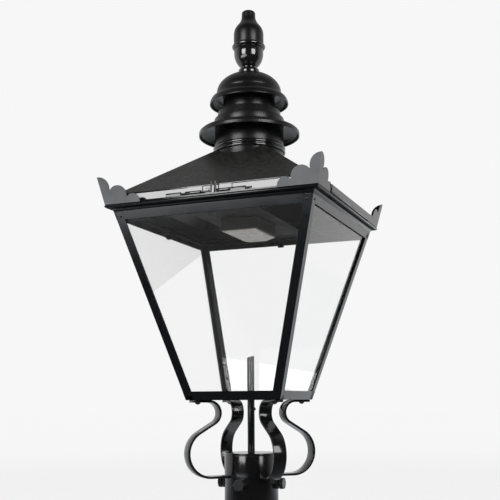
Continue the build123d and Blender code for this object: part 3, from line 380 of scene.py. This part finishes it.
def paint(slot, colour, skin, dust, rub=0.0, depth=0.00006, ior=1.55):
    """A sprayed black paint. Skin gives the values of its surface, and rub the worn width."""
    material = bpy.data.materials.new(slot)
    material.use_nodes = True
    tree = material.node_tree
    tree.nodes.clear()
    place = add_node(tree, "ShaderNodeTexCoord")
    surface = add_node(tree, "ShaderNodeGroup", node_tree=paint_skin)
    for socket, value in skin.items():
        surface.inputs[socket].default_value = value
    film = add_node(tree, "ShaderNodeGroup", node_tree=settled_dust)
    film.inputs["Amount"].default_value = dust
    dusty = add_node(tree, "ShaderNodeMix", {"A": (*colour, 1), "B": DUST}, data_type="RGBA")
    dull = add_node(tree, "ShaderNodeMath", operation="ADD")
    bump = add_node(tree, "ShaderNodeBump", {"Strength": 1.0, "Distance": depth})
    shader = add_node(tree, "ShaderNodeBsdfPrincipled", {"Metallic": 0.0, "IOR": ior})
    out = add_node(tree, "ShaderNodeOutputMaterial")
    join(tree, (place.outputs["Object"], surface.inputs["Vector"]),
         (place.outputs["Object"], film.inputs["Vector"]),
         (film.outputs["Mask"], dusty.inputs["Factor"]),
         (surface.outputs["Roughness"], dull.inputs[0]), (film.outputs["Mask"], dull.inputs[1]),
         (dull.outputs[0], shader.inputs["Roughness"]),
         (surface.outputs["Height"], bump.inputs["Height"]),
         (bump.outputs[0], shader.inputs["Normal"]), (shader.outputs[0], out.inputs["Surface"]))
    if rub:
        edge = add_node(tree, "ShaderNodeGroup", node_tree=rubbed_edge)
        edge.inputs["Width"].default_value = rub
        worn = add_node(tree, "ShaderNodeMix", {"B": RUBBED}, data_type="RGBA")
        join(tree, (place.outputs["Object"], edge.inputs["Vector"]),
             (edge.outputs["Mask"], worn.inputs["Factor"]), (dusty.outputs[2], worn.inputs["A"]),
             (worn.outputs[2], shader.inputs["Base Color"]))
    else:
        join(tree, (dusty.outputs[2], shader.inputs["Base Color"]))
    print("paint", slot, len(tree.nodes), "nodes")
    return material


finishes = {
    "frame_paint": paint("frame_paint", (0.0042, 0.0045, 0.0052),
                         {"Wave Scale": 60.0, "Wave Share": 0.8, "Smooth": 0.10, "Dull": 0.2},
                         0.1, depth=0.00003),
    "roof_paint": paint("roof_paint", (0.0046, 0.0044, 0.0042),
                        {"Wave Scale": 30.0, "Wave Share": 0.8, "Smooth": 0.08, "Dull": 0.16},
                        0.08, depth=0.000015, ior=1.78),
    "satin_stack": paint("satin_stack", (0.0042, 0.0041, 0.0040),
                         {"Wave Scale": 24.0, "Wave Share": 0.9, "Smooth": 0.26, "Dull": 0.36},
                         0.05, depth=0.00002, ior=1.42),
    "satin_roof": paint("satin_roof", (0.0062, 0.0060, 0.0056),
                        {"Wave Scale": 14.0, "Wave Share": 0.97, "Smooth": 0.36, "Dull": 0.46},
                        0.5, depth=0.00004),
    "matt_inside": paint("matt_inside", (0.0040, 0.0040, 0.0042),
                         {"Wave Scale": 20.0, "Smooth": 0.6, "Dull": 0.8},
                         0.0, depth=0.00002, ior=1.2),
    "mount_paint": paint("mount_paint", (0.0042, 0.0042, 0.0046),
                         {"Peel Scale": 500.0, "Smooth": 0.10, "Dull": 0.2},
                         0.12, 0.0005, depth=0.00002),
    "black_fasteners": paint("black_fasteners", (0.008, 0.008, 0.0085),
                             {"Peel Scale": 900.0, "Smooth": 0.2, "Dull": 0.38}, 0.3, 0.0005),
    "plated_steel": paint("plated_steel", (0.010, 0.010, 0.0105),
                          {"Peel Scale": 1200.0, "Smooth": 0.18, "Dull": 0.34}, 0.2, 0.0003),
}

# %% [markdown]
# The lamp housing is a matt casing, and the lamp module's panel is translucent plastic with a
# mottled, slightly yellowed look. The glass is plain window glass with faint streaks of wiping.
# Light that has to bend through glass needs many samples, so for shadow rays the glass steps
# aside and lets the light pass.

# %% Housing, panel and glass
MOTTLE_STOPS = (0.35, 0.66)     # the noise's values that show the dark and the light shade
MOTTLE_DEPTH = 0.00008


def plain_finish(slot, dark, light, scale, rough):
    """A moulded or mottled finish: two shades mixed by noise, with the same noise in its bump."""
    material = bpy.data.materials.new(slot)
    material.use_nodes = True
    tree = material.node_tree
    shader = tree.nodes["Principled BSDF"]
    shader.inputs["Roughness"].default_value = rough
    place = add_node(tree, "ShaderNodeTexCoord")
    mottle = add_node(tree, "ShaderNodeTexNoise", {"Scale": scale, "Detail": 8.0, "Roughness": 0.7})
    shades = add_node(tree, "ShaderNodeValToRGB")
    for stop, position, colour in zip(shades.color_ramp.elements, MOTTLE_STOPS, (dark, light)):
        stop.position, stop.color = position, (*colour, 1)
    bump = add_node(tree, "ShaderNodeBump", {"Strength": 0.6, "Distance": MOTTLE_DEPTH})
    join(tree, (place.outputs["Object"], mottle.inputs["Vector"]),
         (mottle.outputs[0], shades.inputs[0]), (shades.outputs[0], shader.inputs["Base Color"]),
         (mottle.outputs[0], bump.inputs["Height"]), (bump.outputs[0], shader.inputs["Normal"]))
    return material


def window_glass():
    """Clear float glass with the faintest wiping streaks, which lets shadow rays through."""
    material = bpy.data.materials.new("clear_glass")
    material.use_nodes = True
    tree = material.node_tree
    shader = tree.nodes["Principled BSDF"]
    for socket, value in {"Base Color": (0.992, 0.994, 0.992, 1), "Transmission Weight": 1.0,
                          "IOR": 1.3, "Metallic": 0.0}.items():
        shader.inputs[socket].default_value = value
    place = add_node(tree, "ShaderNodeTexCoord")
    along = add_node(tree, "ShaderNodeMapping", {"Scale": (1.0, 1.0, 0.12)})
    wiped = add_node(tree, "ShaderNodeTexNoise", {"Scale": 38.0, "Detail": 6.0, "Roughness": 0.7})
    film = add_node(tree, "ShaderNodeMapRange", {"From Min": 0.55, "From Max": 0.8,
                                                 "To Min": 0.0, "To Max": 0.045})
    clear = add_node(tree, "ShaderNodeBsdfTransparent", {"Color": (0.94, 0.95, 0.945, 1)})
    ray = add_node(tree, "ShaderNodeLightPath")
    choose = add_node(tree, "ShaderNodeMixShader")
    join(tree, (place.outputs["Object"], along.inputs["Vector"]),
         (along.outputs[0], wiped.inputs["Vector"]), (wiped.outputs[0], film.inputs["Value"]),
         (film.outputs["Result"], shader.inputs["Roughness"]),
         (ray.outputs["Is Shadow Ray"], choose.inputs["Fac"]),
         (shader.outputs[0], choose.inputs[1]), (clear.outputs[0], choose.inputs[2]),
         (choose.outputs[0], tree.nodes["Material Output"].inputs["Surface"]))
    return material


finishes["gear_housing"] = plain_finish(
    "gear_housing", (0.012, 0.012, 0.012), (0.022, 0.021, 0.02), scale=260.0, rough=0.42)
finishes["opal_diffuser"] = plain_finish(
    "opal_diffuser", (0.10, 0.088, 0.074), (0.27, 0.25, 0.225), scale=95.0, rough=0.35)
finishes["clear_glass"] = window_glass()
print("finishes", sorted(finishes))

# %% The finishes on the CAD's own nodes
slot_of = {part["node"]: part["material_slot"] for part in frame["record"]["subparts"]}
for name, node in frame["nodes"].items():
    for place in node.material_slots:
        place.material = finishes["matt_inside" if name == "gear_tray" else slot_of[name]]
    if not node.material_slots:
        node.data.materials.append(finishes[slot_of[name]])
print("finished", len(frame["nodes"]), "nodes")

# %% [markdown]
# ## Drawing in edit mode
# Nearly every piece of this lantern starts as an outline: the section of a folded rail, half of
# a turned bowl, the edge of a scalloped crest. A tiny plane is merged to one vertex, and that
# vertex is extruded from point to point, as if drawing a line. The outline is then spun,
# extruded or filled. All sizes are written in millimetres, as on a maker's drawing.

# %% The drawing helper
MM = 0.001


def draw(name, points, fill=False):
    """Draw a closed outline through the points, and stay in edit mode with all of it selected."""
    bpy.ops.object.select_all(action="DESELECT")
    bpy.ops.mesh.primitive_plane_add(size=MM)
    piece = bpy.context.object
    piece.name = piece.data.name = name
    bpy.ops.object.mode_set(mode="EDIT")
    bpy.ops.mesh.merge(type="CENTER")
    corners = [Vector(point) * MM for point in points]
    bpy.ops.transform.translate(value=corners[0])
    for here, there in zip(corners, corners[1:] + corners[:1]):
        bpy.ops.mesh.extrude_vertices_move(TRANSFORM_OT_translate={"value": there - here})
    bpy.ops.mesh.select_all(action="SELECT")
    bpy.ops.mesh.remove_doubles(threshold=0.00001)
    if fill:
        bpy.ops.mesh.edge_face_add()
    return piece


def arc(centre, radii, start, end, steps):
    """Points along part of a circle or ellipse, from one angle in degrees to another."""
    turns = [math.radians(start + (end - start) * i / steps) for i in range(steps + 1)]
    return [(centre[0] + radii[0] * math.cos(t), centre[1] + radii[1] * math.sin(t)) for t in turns]


def leave_edit():
    """Merge what meets, make every face point outwards, and go back to object mode."""
    bpy.ops.mesh.select_all(action="SELECT")
    bpy.ops.mesh.remove_doubles(threshold=0.00001)
    bpy.ops.mesh.normals_make_consistent(inside=False)
    bpy.ops.object.mode_set(mode="OBJECT")


# %% [markdown]
# A finished piece has slightly rounded edges, because no folded or turned metal is razor sharp,
# and those narrow rounded edges are what catches the light on a black object. A Bevel modifier
# rounds every edge that turns more than a set angle. Smooth shading would bend the light on the
# wide faces beside a rounded edge, so those are shaded flat. The piece then takes its paint,
# rides on its body, and stands in for the CAD nodes that it replaces.

# %% The finishing helpers
WIDE_FACE = 4.0                 # a face wider than this is shaded flat
SMOOTH_ANGLE = math.radians(38)
LOOKS_DOWN, LOOKS_IN = -0.9, 0.5    # how far a face turns before it counts as an inside face


def apply_modifier(piece, kind, **settings):
    """Add one modifier, set it up, and apply it."""
    bpy.ops.object.select_all(action="DESELECT")
    piece.select_set(True)
    bpy.context.view_layer.objects.active = piece
    modifier = piece.modifiers.new(kind.lower(), kind)
    for setting, value in settings.items():
        setattr(modifier, setting, value)
    bpy.ops.object.modifier_apply(modifier=modifier.name)


def round_edges(piece, width, segments=2, angle=28):
    """Round every edge that turns more than the angle, to a width in millimetres."""
    apply_modifier(piece, "BEVEL", width=width * MM, segments=segments, limit_method="ANGLE",
                   angle_limit=math.radians(angle), profile=0.5)


def lay_flat(mesh):
    """Shade the wide faces flat, so that a rounded edge beside them doesn't bend their light."""
    for face in mesh.polygons:
        corners = [mesh.vertices[index].co for index in face.vertices]
        longest = max((here - there).length
                      for here, there in zip(corners, corners[1:] + corners[:1]))
        if face.area > WIDE_FACE * MM * longest:
            face.use_smooth = False


def put_in_place(piece, *nodes, finish=None):
    """Smooth the piece, and give it the paint named after the slot of the nodes that it replaces,
    or the finish given, and their body.
    """
    bpy.ops.object.select_all(action="DESELECT")
    piece.select_set(True)
    bpy.context.view_layer.objects.active = piece
    bpy.ops.object.shade_smooth_by_angle(angle=SMOOTH_ANGLE)
    lay_flat(piece.data)
    slot = slot_of[nodes[0]]
    piece.data.materials.clear()
    piece.data.materials.append(finishes[finish or slot])
    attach(piece, frame["nodes"][nodes[0]]["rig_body"])
    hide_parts(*nodes)
    print(piece.name, len(piece.data.polygons), "faces for", ", ".join(nodes))
    return piece


def dull_inside(piece):
    """Give the faces that look straight down or in at the glass the inside's matt paint."""
    piece.data.materials.append(finishes["matt_inside"])
    for face in piece.data.polygons:
        inwards = face.normal.xy.dot(-face.center.xy.normalized())
        if face.normal.z < LOOKS_DOWN or inwards > LOOKS_IN:
            face.material_index = 1


def turned_copy(piece, name, degrees):
    """A copy with its own mesh, turned about the lantern's axis inside that mesh."""
    copy = bpy.data.objects.new(name, piece.data.copy())
    copy.data.name = name
    bpy.context.scene.collection.objects.link(copy)
    copy.data.transform(Matrix.Rotation(math.radians(degrees), 4, "Z"))
    return copy


def weld(name, *pieces):
    """Join several pieces into the first one."""
    bpy.ops.object.select_all(action="DESELECT")
    for piece in pieces:
        piece.select_set(True)
    bpy.context.view_layer.objects.active = pieces[0]
    if len(pieces) > 1:
        bpy.ops.object.join()
    pieces[0].name = pieces[0].data.name = name
    return pieces[0]


def cut_away(piece, cutter):
    """Cut a helper solid out of a piece, and remove the helper."""
    apply_modifier(piece, "BOOLEAN", operation="DIFFERENCE", solver="EXACT", object=cutter)
    bpy.data.objects.remove(cutter)


def drill(piece, radius, depth, middle, turn=(0, 0, 0), vertices=112):
    """Cut a round hole, upright unless it is turned, with sizes in millimetres."""
    bpy.ops.mesh.primitive_cylinder_add(vertices=vertices, radius=radius * MM, depth=depth * MM,
                                        location=Vector(middle) * MM, rotation=turn)
    cut_away(piece, bpy.context.object)


# %% [markdown]
# ## The ventilator stack
# The chimney of an old street lantern is spun from sheet on a lathe, one bell over another. Spin
# does the same here: half the section is drawn beside the axis, thickness and all, and spun
# through a full turn. It could also be a curve with a Screw modifier, but Spin keeps every vertex
# on the outline where it was drawn, and the seam closes by itself.

# %% Turning on a lathe
TURN_STEPS = 112


def spin_round(steps):
    """Spin the selected outline a full turn about the lantern's axis."""
    bpy.ops.mesh.spin(steps=steps, angle=math.tau, center=(0, 0, 0), axis=(0, 0, 1))
    leave_edit()


def turn_on_lathe(name, outline, *nodes, edge=0.5, finish=None):
    """Spin a closed outline of (radius, level) points, and round its edges by edge."""
    piece = draw(name, [(radius, 0, level) for radius, level in outline])
    spin_round(TURN_STEPS)
    if edge:
        round_edges(piece, edge)
    return put_in_place(piece, *nodes, finish=finish)


# %% The lower neck and its collar of two beads
NECK_RADIUS = 60.7
BEAD = (3.25, 3.25)
BEAD_GAP = 68.3                 # where a bead's curve meets the band between the two

neck = [(57.7, 615.7), (NECK_RADIUS, 615.7), (NECK_RADIUS, 677.88), (57.7, 677.97)]
turn_on_lathe("neck_tube", neck, "lower_neck", finish="satin_stack")
collar = ([(NECK_RADIUS, 631.23)] + arc((NECK_RADIUS, 634.48), BEAD, -88, BEAD_GAP, 9)
          + arc((NECK_RADIUS, 640.98), BEAD, -BEAD_GAP, 88, 9) + [(NECK_RADIUS, 644.23)])
turn_on_lathe("collar_beads", collar, "chimney_collar", edge=0)

# %% The lower canopy
CANOPY_MIDDLE = (56.2, 668.88)  # the centre of the bell's curve, in its section
canopy = ([(44, 679.98)] + arc(CANOPY_MIDDLE, (32.8, 11.1), 90, 0, 16)
          + [(89, 663.68), (87, 663.68)] + arc(CANOPY_MIDDLE, (30.8, 9.1), 0, 90, 16)
          + [(44, 677.98)])
turn_on_lathe("canopy_bell", canopy, "lower_canopy", edge=0.7, finish="satin_stack")

# %% The stepped drum and the upper neck
drum = [(61.9, 679.81), (61.9, 695.38), (55.8, 695.38), (55.8, 708.48), (46, 708.48),
        (46, 706.48), (53.8, 706.48), (53.8, 693.38), (59.9, 693.38), (59.9, 679.87)]
turn_on_lathe("drum_steps", drum, "step_drum", edge=1.0, finish="satin_stack")
tube = [(44, 679.98), (46, 679.98), (46, 735.68), (44, 735.68)]
turn_on_lathe("upper_tube", tube, "upper_neck", edge=0, finish="satin_stack")

# %% The flared brim and the dome
brim = ([(44, 735.68)] + arc((57.1, 723.08), (11, 12.6), 90, 0, 14) + [(70.1, 723.08)]
        + arc((59.1, 723.08), (11, 14.6), 2, 90, 14)
        + [(57.6, 737.68), (57.6, 745.48), (55.6, 745.48), (55.6, 737.68), (44, 737.68)])
turn_on_lathe("brim_bell", brim, "dome_brim", edge=0.5, finish="satin_stack")
DOME_FOOT = (0, 745.48)         # the centre of the dome's curve, on the axis
DOME_OUTSIDE, DOME_INSIDE = (57.6, 37.5), (55.6, 35.5)
DOME_TOP_TURN = 85.92           # how far round its curve the dome meets the tie rod's hole
dome = ([(55.6, 745.48)] + arc(DOME_FOOT, DOME_OUTSIDE, 0, DOME_TOP_TURN, 30)
        + arc(DOME_FOOT, DOME_INSIDE, 85.77, 3, 30))
turn_on_lathe("dome_cap", dome, "dome", edge=0.35, finish="satin_stack")

# %% [markdown]
# ## The finial
# Three turned pieces on one rod: a bowl that swells from a narrow stem, a half-round ring, and a
# drum that sweeps in to a blunt tip. The bowl's side is one circle and the drum's shoulder is an
# S-shaped curve, which a cubic Bezier from `mathutils` draws as well as a spline tool would.

# %% Bowl, ring and cap
BOWL_TURN = 51.21               # how far round its circle the bowl's side starts

bowl = (arc(DOME_FOOT, DOME_OUTSIDE, DOME_TOP_TURN, 71.16, 6) + [(18.6, 788.98)]
        + arc((18.6, 791.98), (5, 3), 262, 180, 6)
        + arc((-7.7, 819.98), (34, 34), -BOWL_TURN, 0, 18) + [(26.3, 828.98), (4.1, 828.98)])
turn_on_lathe("bowl_turning", bowl, "finial_bowl", edge=0.5)
ring = ([(4.1, 828.98)] + arc((25.9, 832.98), (4, 4), -90, 90, 14) + [(4.1, 836.98)])
turn_on_lathe("ring_turning", ring, "finial_ring", edge=0)


def sweep_in(start, end, fullness, steps):
    """Points on the S-curve from a plumb wall in to a plumb waist."""
    reach = (end[1] - start[1]) * fullness
    handles = [Vector(start), Vector((start[0], start[1] + reach)),
               Vector((end[0], end[1] - reach)), Vector(end)]
    points = []
    for i in range(steps + 1):
        t = i / steps
        shares = [(1 - t) ** 3, 3 * t * (1 - t) ** 2, 3 * t * t * (1 - t), t ** 3]
        points.append(tuple(sum((h * s for h, s in zip(handles, shares)), Vector((0, 0)))))
    return points


cap = ([(4.1, 836.98), (26.9, 836.98)] + sweep_in((26.9, 855.98), (12.4, 892.98), 0.5, 26)
       + arc((7.4, 896.78), (5, 5), 0, 90, 8) + [(0, 901.78), (0, 866.98), (4.1, 866.98)])
turn_on_lathe("cap_turning", cap, "finial_cap", edge=0.5, finish="satin_stack")

# %% [markdown]
# ## The frame that holds the glass
# Four angle bars lean out from a small square to a large one, with an angle rail round the foot
# and the head. A square rail with mitred corners is a lathe job too: spun in only four steps,
# an outline drawn on the diagonal makes four flat sides. A bar is its L-shaped section, filled
# and extruded once along the slanting corner.

# %% Square pieces with mitred corners
def spin_square(name, outline):
    """Spin a closed outline of (half width, level) points in four steps, into a square ring."""
    piece = draw(name, [(half, -half, level) for half, level in outline])
    spin_round(4)
    return piece


FOOT_LEVEL, HEAD_LEVEL = 205.0, 508.3
FOOT_HALF, HEAD_HALF = 81.8, 170.9
TAPER = (HEAD_HALF - FOOT_HALF) / (HEAD_LEVEL - FOOT_LEVEL)
WALL = 3.08                     # the sheet's thickness, measured level, a hair clear of the glass
LEG = 15.0
CORNER_TURNS = {"front_right": 0, "back_right": 90, "back_left": 180, "front_left": -90}


def frame_half(level):
    """Half the tapered frame's width at a level."""
    return FOOT_HALF + (level - FOOT_LEVEL) * TAPER


# %% Corner bars
h = FOOT_HALF
section = [(h, -h), (h, LEG - h), (h - WALL, LEG - h), (h - WALL, WALL - h),
           (h - LEG, WALL - h), (h - LEG, -h)]
bar = draw("angle_bar", [(x, y, FOOT_LEVEL) for x, y in section], fill=True)
slant = Vector((HEAD_HALF - FOOT_HALF, FOOT_HALF - HEAD_HALF, HEAD_LEVEL - FOOT_LEVEL)) * MM
bpy.ops.mesh.extrude_region_move(TRANSFORM_OT_translate={"value": slant})
leave_edit()
bars = {name: turned_copy(bar, "angle_bar_" + name, turn)
        for name, turn in CORNER_TURNS.items()}
print("bar", [round(v, 4) for v in bar.dimensions])

# %% Bottom and top rails, cut out where the bars pass
def rail(name, outline, node):
    """A square rail with the four bars cut out of it, as they are in the real frame."""
    ring = spin_square(name, outline)
    cutter = weld("bars_to_cut", *[turned_copy(bar, "cut_" + corner, turn)
                                   for corner, turn in CORNER_TURNS.items()])
    cut_away(ring, cutter)
    round_edges(ring, 0.35)
    dull_inside(put_in_place(ring, node))


RAIL_SHEET = 3.0
FOOT_FLANGE, HEAD_FLANGE = 20.0, 16.0       # how far each rail reaches in
FOOT_RAIL, HEAD_RAIL = 14.0, 12.5           # and how tall it is

top, sheet = FOOT_LEVEL + FOOT_RAIL, FOOT_LEVEL + RAIL_SHEET
rail("foot_rail",
     [(FOOT_HALF - FOOT_FLANGE, FOOT_LEVEL), (FOOT_HALF, FOOT_LEVEL), (frame_half(top), top),
      (frame_half(top) - WALL, top), (frame_half(sheet) - WALL, sheet),
      (FOOT_HALF - FOOT_FLANGE, sheet)], "bottom_frame")
base, sheet = HEAD_LEVEL - HEAD_RAIL, HEAD_LEVEL - RAIL_SHEET
rail("head_rail",
     [(frame_half(base), base), (HEAD_HALF, HEAD_LEVEL), (HEAD_HALF - HEAD_FLANGE, HEAD_LEVEL),
      (HEAD_HALF - HEAD_FLANGE, sheet), (frame_half(sheet) - WALL, sheet),
      (frame_half(base) - WALL, base)], "top_rail")
bpy.data.objects.remove(bar)
for name, piece in bars.items():
    round_edges(piece, 0.5, segments=3)
    dull_inside(put_in_place(piece, "corner_bar_" + name))

# %% [markdown]
# ## The gallery
# The moulding under the roof is rolled from sheet: a cove, a rounded bead, a short upstand behind
# the crests and a ledge that the roof stands on. Its section goes round the lantern as the rails
# do, so it is spun in four steps as well.

# %% Gallery
LEDGE, BEAD_TOP = 517.3, 519.5
moulding = (arc((180.4, HEAD_LEVEL), (9.5, 6), 180, 90, 12)
            + arc((179.55, 516.9), (2.75, 2.6), 72, -72, 8)[::-1]
            + [(181.7, BEAD_TOP), (180.16, BEAD_TOP), (180.73, 522), (179.19, 522), (178.12, LEDGE),
               (160, LEDGE), (160, LEDGE - 2), (167.9, LEDGE - 2), (167.9, HEAD_LEVEL)])
gallery = spin_square("gallery_moulding", moulding)
round_edges(gallery, 0.3)
dull_inside(put_in_place(gallery, "gallery"))

# %% [markdown]
# ## Crests and side strips
# A crest is one sheet, cut in three scallops that climb to the corner and folded square. It leans
# out a little, so its points are placed with a function that knows the lean. One wing is drawn
# and filled, its mirror image over the diagonal is joined along the fold, and Solidify gives the
# pair its thickness, so that the inner corner mitres by itself.

# %% Crests
CREST_FOOT = 181.7
LEAN = math.tan(math.radians(12.9))
LOBES = [(189.9, 545.0, 19.0), (156.9, 531.5, 17.0), (129.9, 520.5, 13.0)]
CREST_SHEET = 1.5


def crest_half(level):
    """How far a crest stands from the axis at a level, because it leans out."""
    return CREST_FOOT + (level - BEAD_TOP) * LEAN


def lobe(index, start, end, steps):
    """Part of one scallop, whose circle is given by its place across, its level and radius."""
    across, level, radius = LOBES[index]
    return arc((across, level), (radius, radius), start, end, steps)


scallops = ([(116.9, BEAD_TOP)] + lobe(2, 180, 39.7, 18) + lobe(1, 180, 34.6, 22)
            + lobe(0, 180, 84, 20) + [(CREST_FOOT, BEAD_TOP)])
wing = draw("crest_wing", [(x, -crest_half(z), z) for x, z in scallops], fill=True)
leave_edit()
other = bpy.data.objects.new("other_wing", wing.data.copy())
bpy.context.scene.collection.objects.link(other)
other.data.transform(Matrix(((0, -1, 0, 0), (-1, 0, 0, 0), (0, 0, 1, 0), (0, 0, 0, 1))))
crest = weld("crest", wing, other)
bpy.ops.object.mode_set(mode="EDIT")
leave_edit()
print("crest", [round(v, 4) for v in crest.dimensions])

# %% Thickness, rims and the four copies
apply_modifier(crest, "SOLIDIFY", thickness=CREST_SHEET * MM, offset=-1.0, use_even_offset=True)
round_edges(crest, 0.45, segments=3, angle=40)
for name, turn in CORNER_TURNS.items():
    put_in_place(turned_copy(crest, "crest_sheet_" + name, turn), "crest_" + name)
bpy.data.objects.remove(crest)

# %% Side strips, cut to the scallops beside them
outline = [(116.9, BEAD_TOP)] + lobe(2, 180, 122.6, 8)
outline += [(-x, z) for x, z in reversed(outline)]
strip = draw("side_strip", [(x, -crest_half(z), z) for x, z in outline], fill=True)
leave_edit()
apply_modifier(strip, "SOLIDIFY", thickness=CREST_SHEET * MM, offset=-1.0)
drill(strip, 1.3, 20, (0, -CREST_FOOT, BEAD_TOP + 2.6), (math.pi / 2, 0, 0), vertices=20)
round_edges(strip, 0.3, angle=40)
for name, turn in {"right": 90, "back": 180, "left": -90}.items():
    put_in_place(turned_copy(strip, "strip_sheet_" + name, turn), "side_strip_" + name)
bpy.data.objects.remove(strip)

# %% [markdown]
# ## The roof
# A shallow pyramid of sheet with a plumb skirt, and a round hole where the neck comes through.
# The square lathe makes the sheet with its hips, and a Boolean cuts the hole, as the maker's
# shears did. The slopes lie open to dust and rain and have gone dull, while the plumb skirt under
# the eave has kept its gloss, so the two get different paints, face by face.

# %% Roof lid
ROOF_PITCH = math.tan(math.radians(37.2))
EAVE_HALF, EAVE = 169.1, 538.9
TRIM_HALF = 38.0                # inside the hole, where the drawn slope stops
ROOF_DROP = 2.511               # the roof's sheet, measured plumb


def slope(half, drop=0.0):
    """A point on the roof's slope, or on its underside by the drop."""
    return (half, EAVE + (EAVE_HALF - half) * ROOF_PITCH - drop)


roof = spin_square("roof_sheet", [
    (168, 517.6), (168, 537.1), (EAVE_HALF, 537.1), (EAVE_HALF, EAVE), slope(TRIM_HALF),
    slope(TRIM_HALF, ROOF_DROP), slope(166.5, ROOF_DROP), (166.5, 517.6)])
round_edges(roof, 0.8, segments=3)
drill(roof, NECK_RADIUS, 120, (0, 0, 630))
put_in_place(roof, "roof_lid", finish="satin_roof")
roof.data.materials.append(finishes["roof_paint"])
for face in roof.data.polygons:
    face.material_index = int(face.center.z < EAVE * MM and abs(face.normal.z) < 0.5)

# %% [markdown]
# ## The straps
# Four flat bars, bent in two scrolls, carry the lantern on its sleeve. Both faces of the bar are
# drawn as arcs about the same two centres, the outline is filled and extruded across, and the
# ends are trimmed: one to the round sleeve, the other to the corner of the square rail.

# %% Straps
UPPER, LOWER = (77.48, 184.0), (74.43, 119.52)      # the centres of the two bends
STRAP_TURN = 149.3              # how far each scroll bends
STRAP_WIDTH = 22.0


def strap_face(level, upper, lower):
    """One face of the bent bar, from its foot at a level, with the radii of its two bends."""
    return ([(106.98, level)] + arc(UPPER, (upper, upper), 90, 90 + STRAP_TURN, 44)
            + arc(LOWER, (lower, lower), STRAP_TURN - 90, -90, 60) + [(42.5, LOWER[1] - lower)])


side_view = strap_face(205, 21, 36) + strap_face(201, 17, 40)[::-1]
strap = draw("strap", [(r, -STRAP_WIDTH / 2, z) for r, z in side_view], fill=True)
bpy.ops.mesh.extrude_region_move(TRANSFORM_OT_translate={"value": (0, STRAP_WIDTH * MM, 0)})
leave_edit()
print("strap", [round(v, 4) for v in strap.dimensions])

# %% Trimming the ends, and the four copies
CORNER_OUT = FOOT_HALF * math.sqrt(2)
SLEEVE_RADIUS = 44.45
TRIM_BLOCK = 60.0
TRIM_SHIFT = TRIM_BLOCK / 2 / math.sqrt(2)
TRIM_LEVEL = 230.0              # so high that the block misses the scroll below the foot

for side in (-1, 1):
    bpy.ops.mesh.primitive_cube_add(
        size=TRIM_BLOCK * MM, rotation=(0, 0, math.radians(45 * side)),
        location=Vector((CORNER_OUT + TRIM_SHIFT, side * TRIM_SHIFT, TRIM_LEVEL)) * MM)
    cut_away(strap, bpy.context.object)
drill(strap, SLEEVE_RADIUS, 200, (0, 0, 80))
round_edges(strap, 0.8, segments=3, angle=40)
for name, turn in CORNER_TURNS.items():
    put_in_place(turned_copy(strap, "strap_bar_" + name, turn - 45), "strap_" + name)
bpy.data.objects.remove(strap)

# %% [markdown]
# ## Sleeve, bolts and hinge
# The sleeve and its cap are turned. The small hardware already has its right shape in the frame,
# with every edge sharp, so each of those nodes is copied, its loose triangles are merged into
# clean faces, and its edges are rounded.

# %% Sleeve and cap
SLEEVE_TOP = 115.0
BORE_RADIUS = 40.45
CHAMFER = 0.6                   # round the sleeve's mouth
BOLT_LEVEL = 70.5
HOLE_RINGS = (62, 79)           # edge loops that keep the bolt holes' cuts away from the ends

outside = [(SLEEVE_RADIUS, level) for level in (CHAMFER, *HOLE_RINGS, SLEEVE_TOP)]
inside = [(BORE_RADIUS, level) for level in (SLEEVE_TOP, *reversed(HOLE_RINGS))]
mouth = [(BORE_RADIUS, CHAMFER), (BORE_RADIUS + CHAMFER, 0), (SLEEVE_RADIUS - CHAMFER, 0)]
sleeve = draw("sleeve_tube", [(r, 0, z) for r, z in mouth + outside + inside])
spin_round(TURN_STEPS)
for turn in (0, 90):
    drill(sleeve, 5.08, 120, (0, 0, BOLT_LEVEL), (0, math.pi / 2, math.radians(turn)), 40)
round_edges(sleeve, 0.25, angle=40)
put_in_place(sleeve, "post_sleeve")
cap_plate = [(6.1, 115), (SLEEVE_RADIUS, 115)] + arc((42.45, 117), (2, 2), 0, 90, 6) + [(6.1, 119)]
turn_on_lathe("cap_plate", cap_plate, "sleeve_cap", edge=0)

# %% Softened copies of the small hardware
def softened_copy(node, width, angle=30):
    """A merged copy of a CAD node with its edges rounded, in the same place."""
    copy = bpy.data.objects.new(node + "_softened", frame["nodes"][node].data.copy())
    bpy.context.scene.collection.objects.link(copy)
    bpy.ops.object.select_all(action="DESELECT")
    copy.select_set(True)
    bpy.context.view_layer.objects.active = copy
    bpy.ops.mesh.customdata_custom_splitnormals_clear()
    bpy.ops.object.mode_set(mode="EDIT")
    bpy.ops.mesh.select_all(action="SELECT")
    bpy.ops.mesh.remove_doubles(threshold=0.00001)
    bpy.ops.mesh.dissolve_limited(angle_limit=math.radians(1.0))
    leave_edit()
    round_edges(copy, width, angle=angle)
    return put_in_place(copy, node)


for side in ("front", "right", "back", "left"):
    softened_copy("clamp_bolt_" + side, 0.5)
softened_copy("clamp_nuts", 0.5)
softened_copy("conduit_stem", 0.3)
softened_copy("gear_box", 1.2)
for node in ("hinge_keeper_left", "hinge_keeper_right", "hinge_lug_left", "hinge_lug_right"):
    softened_copy(node, 0.2)
print("softened")
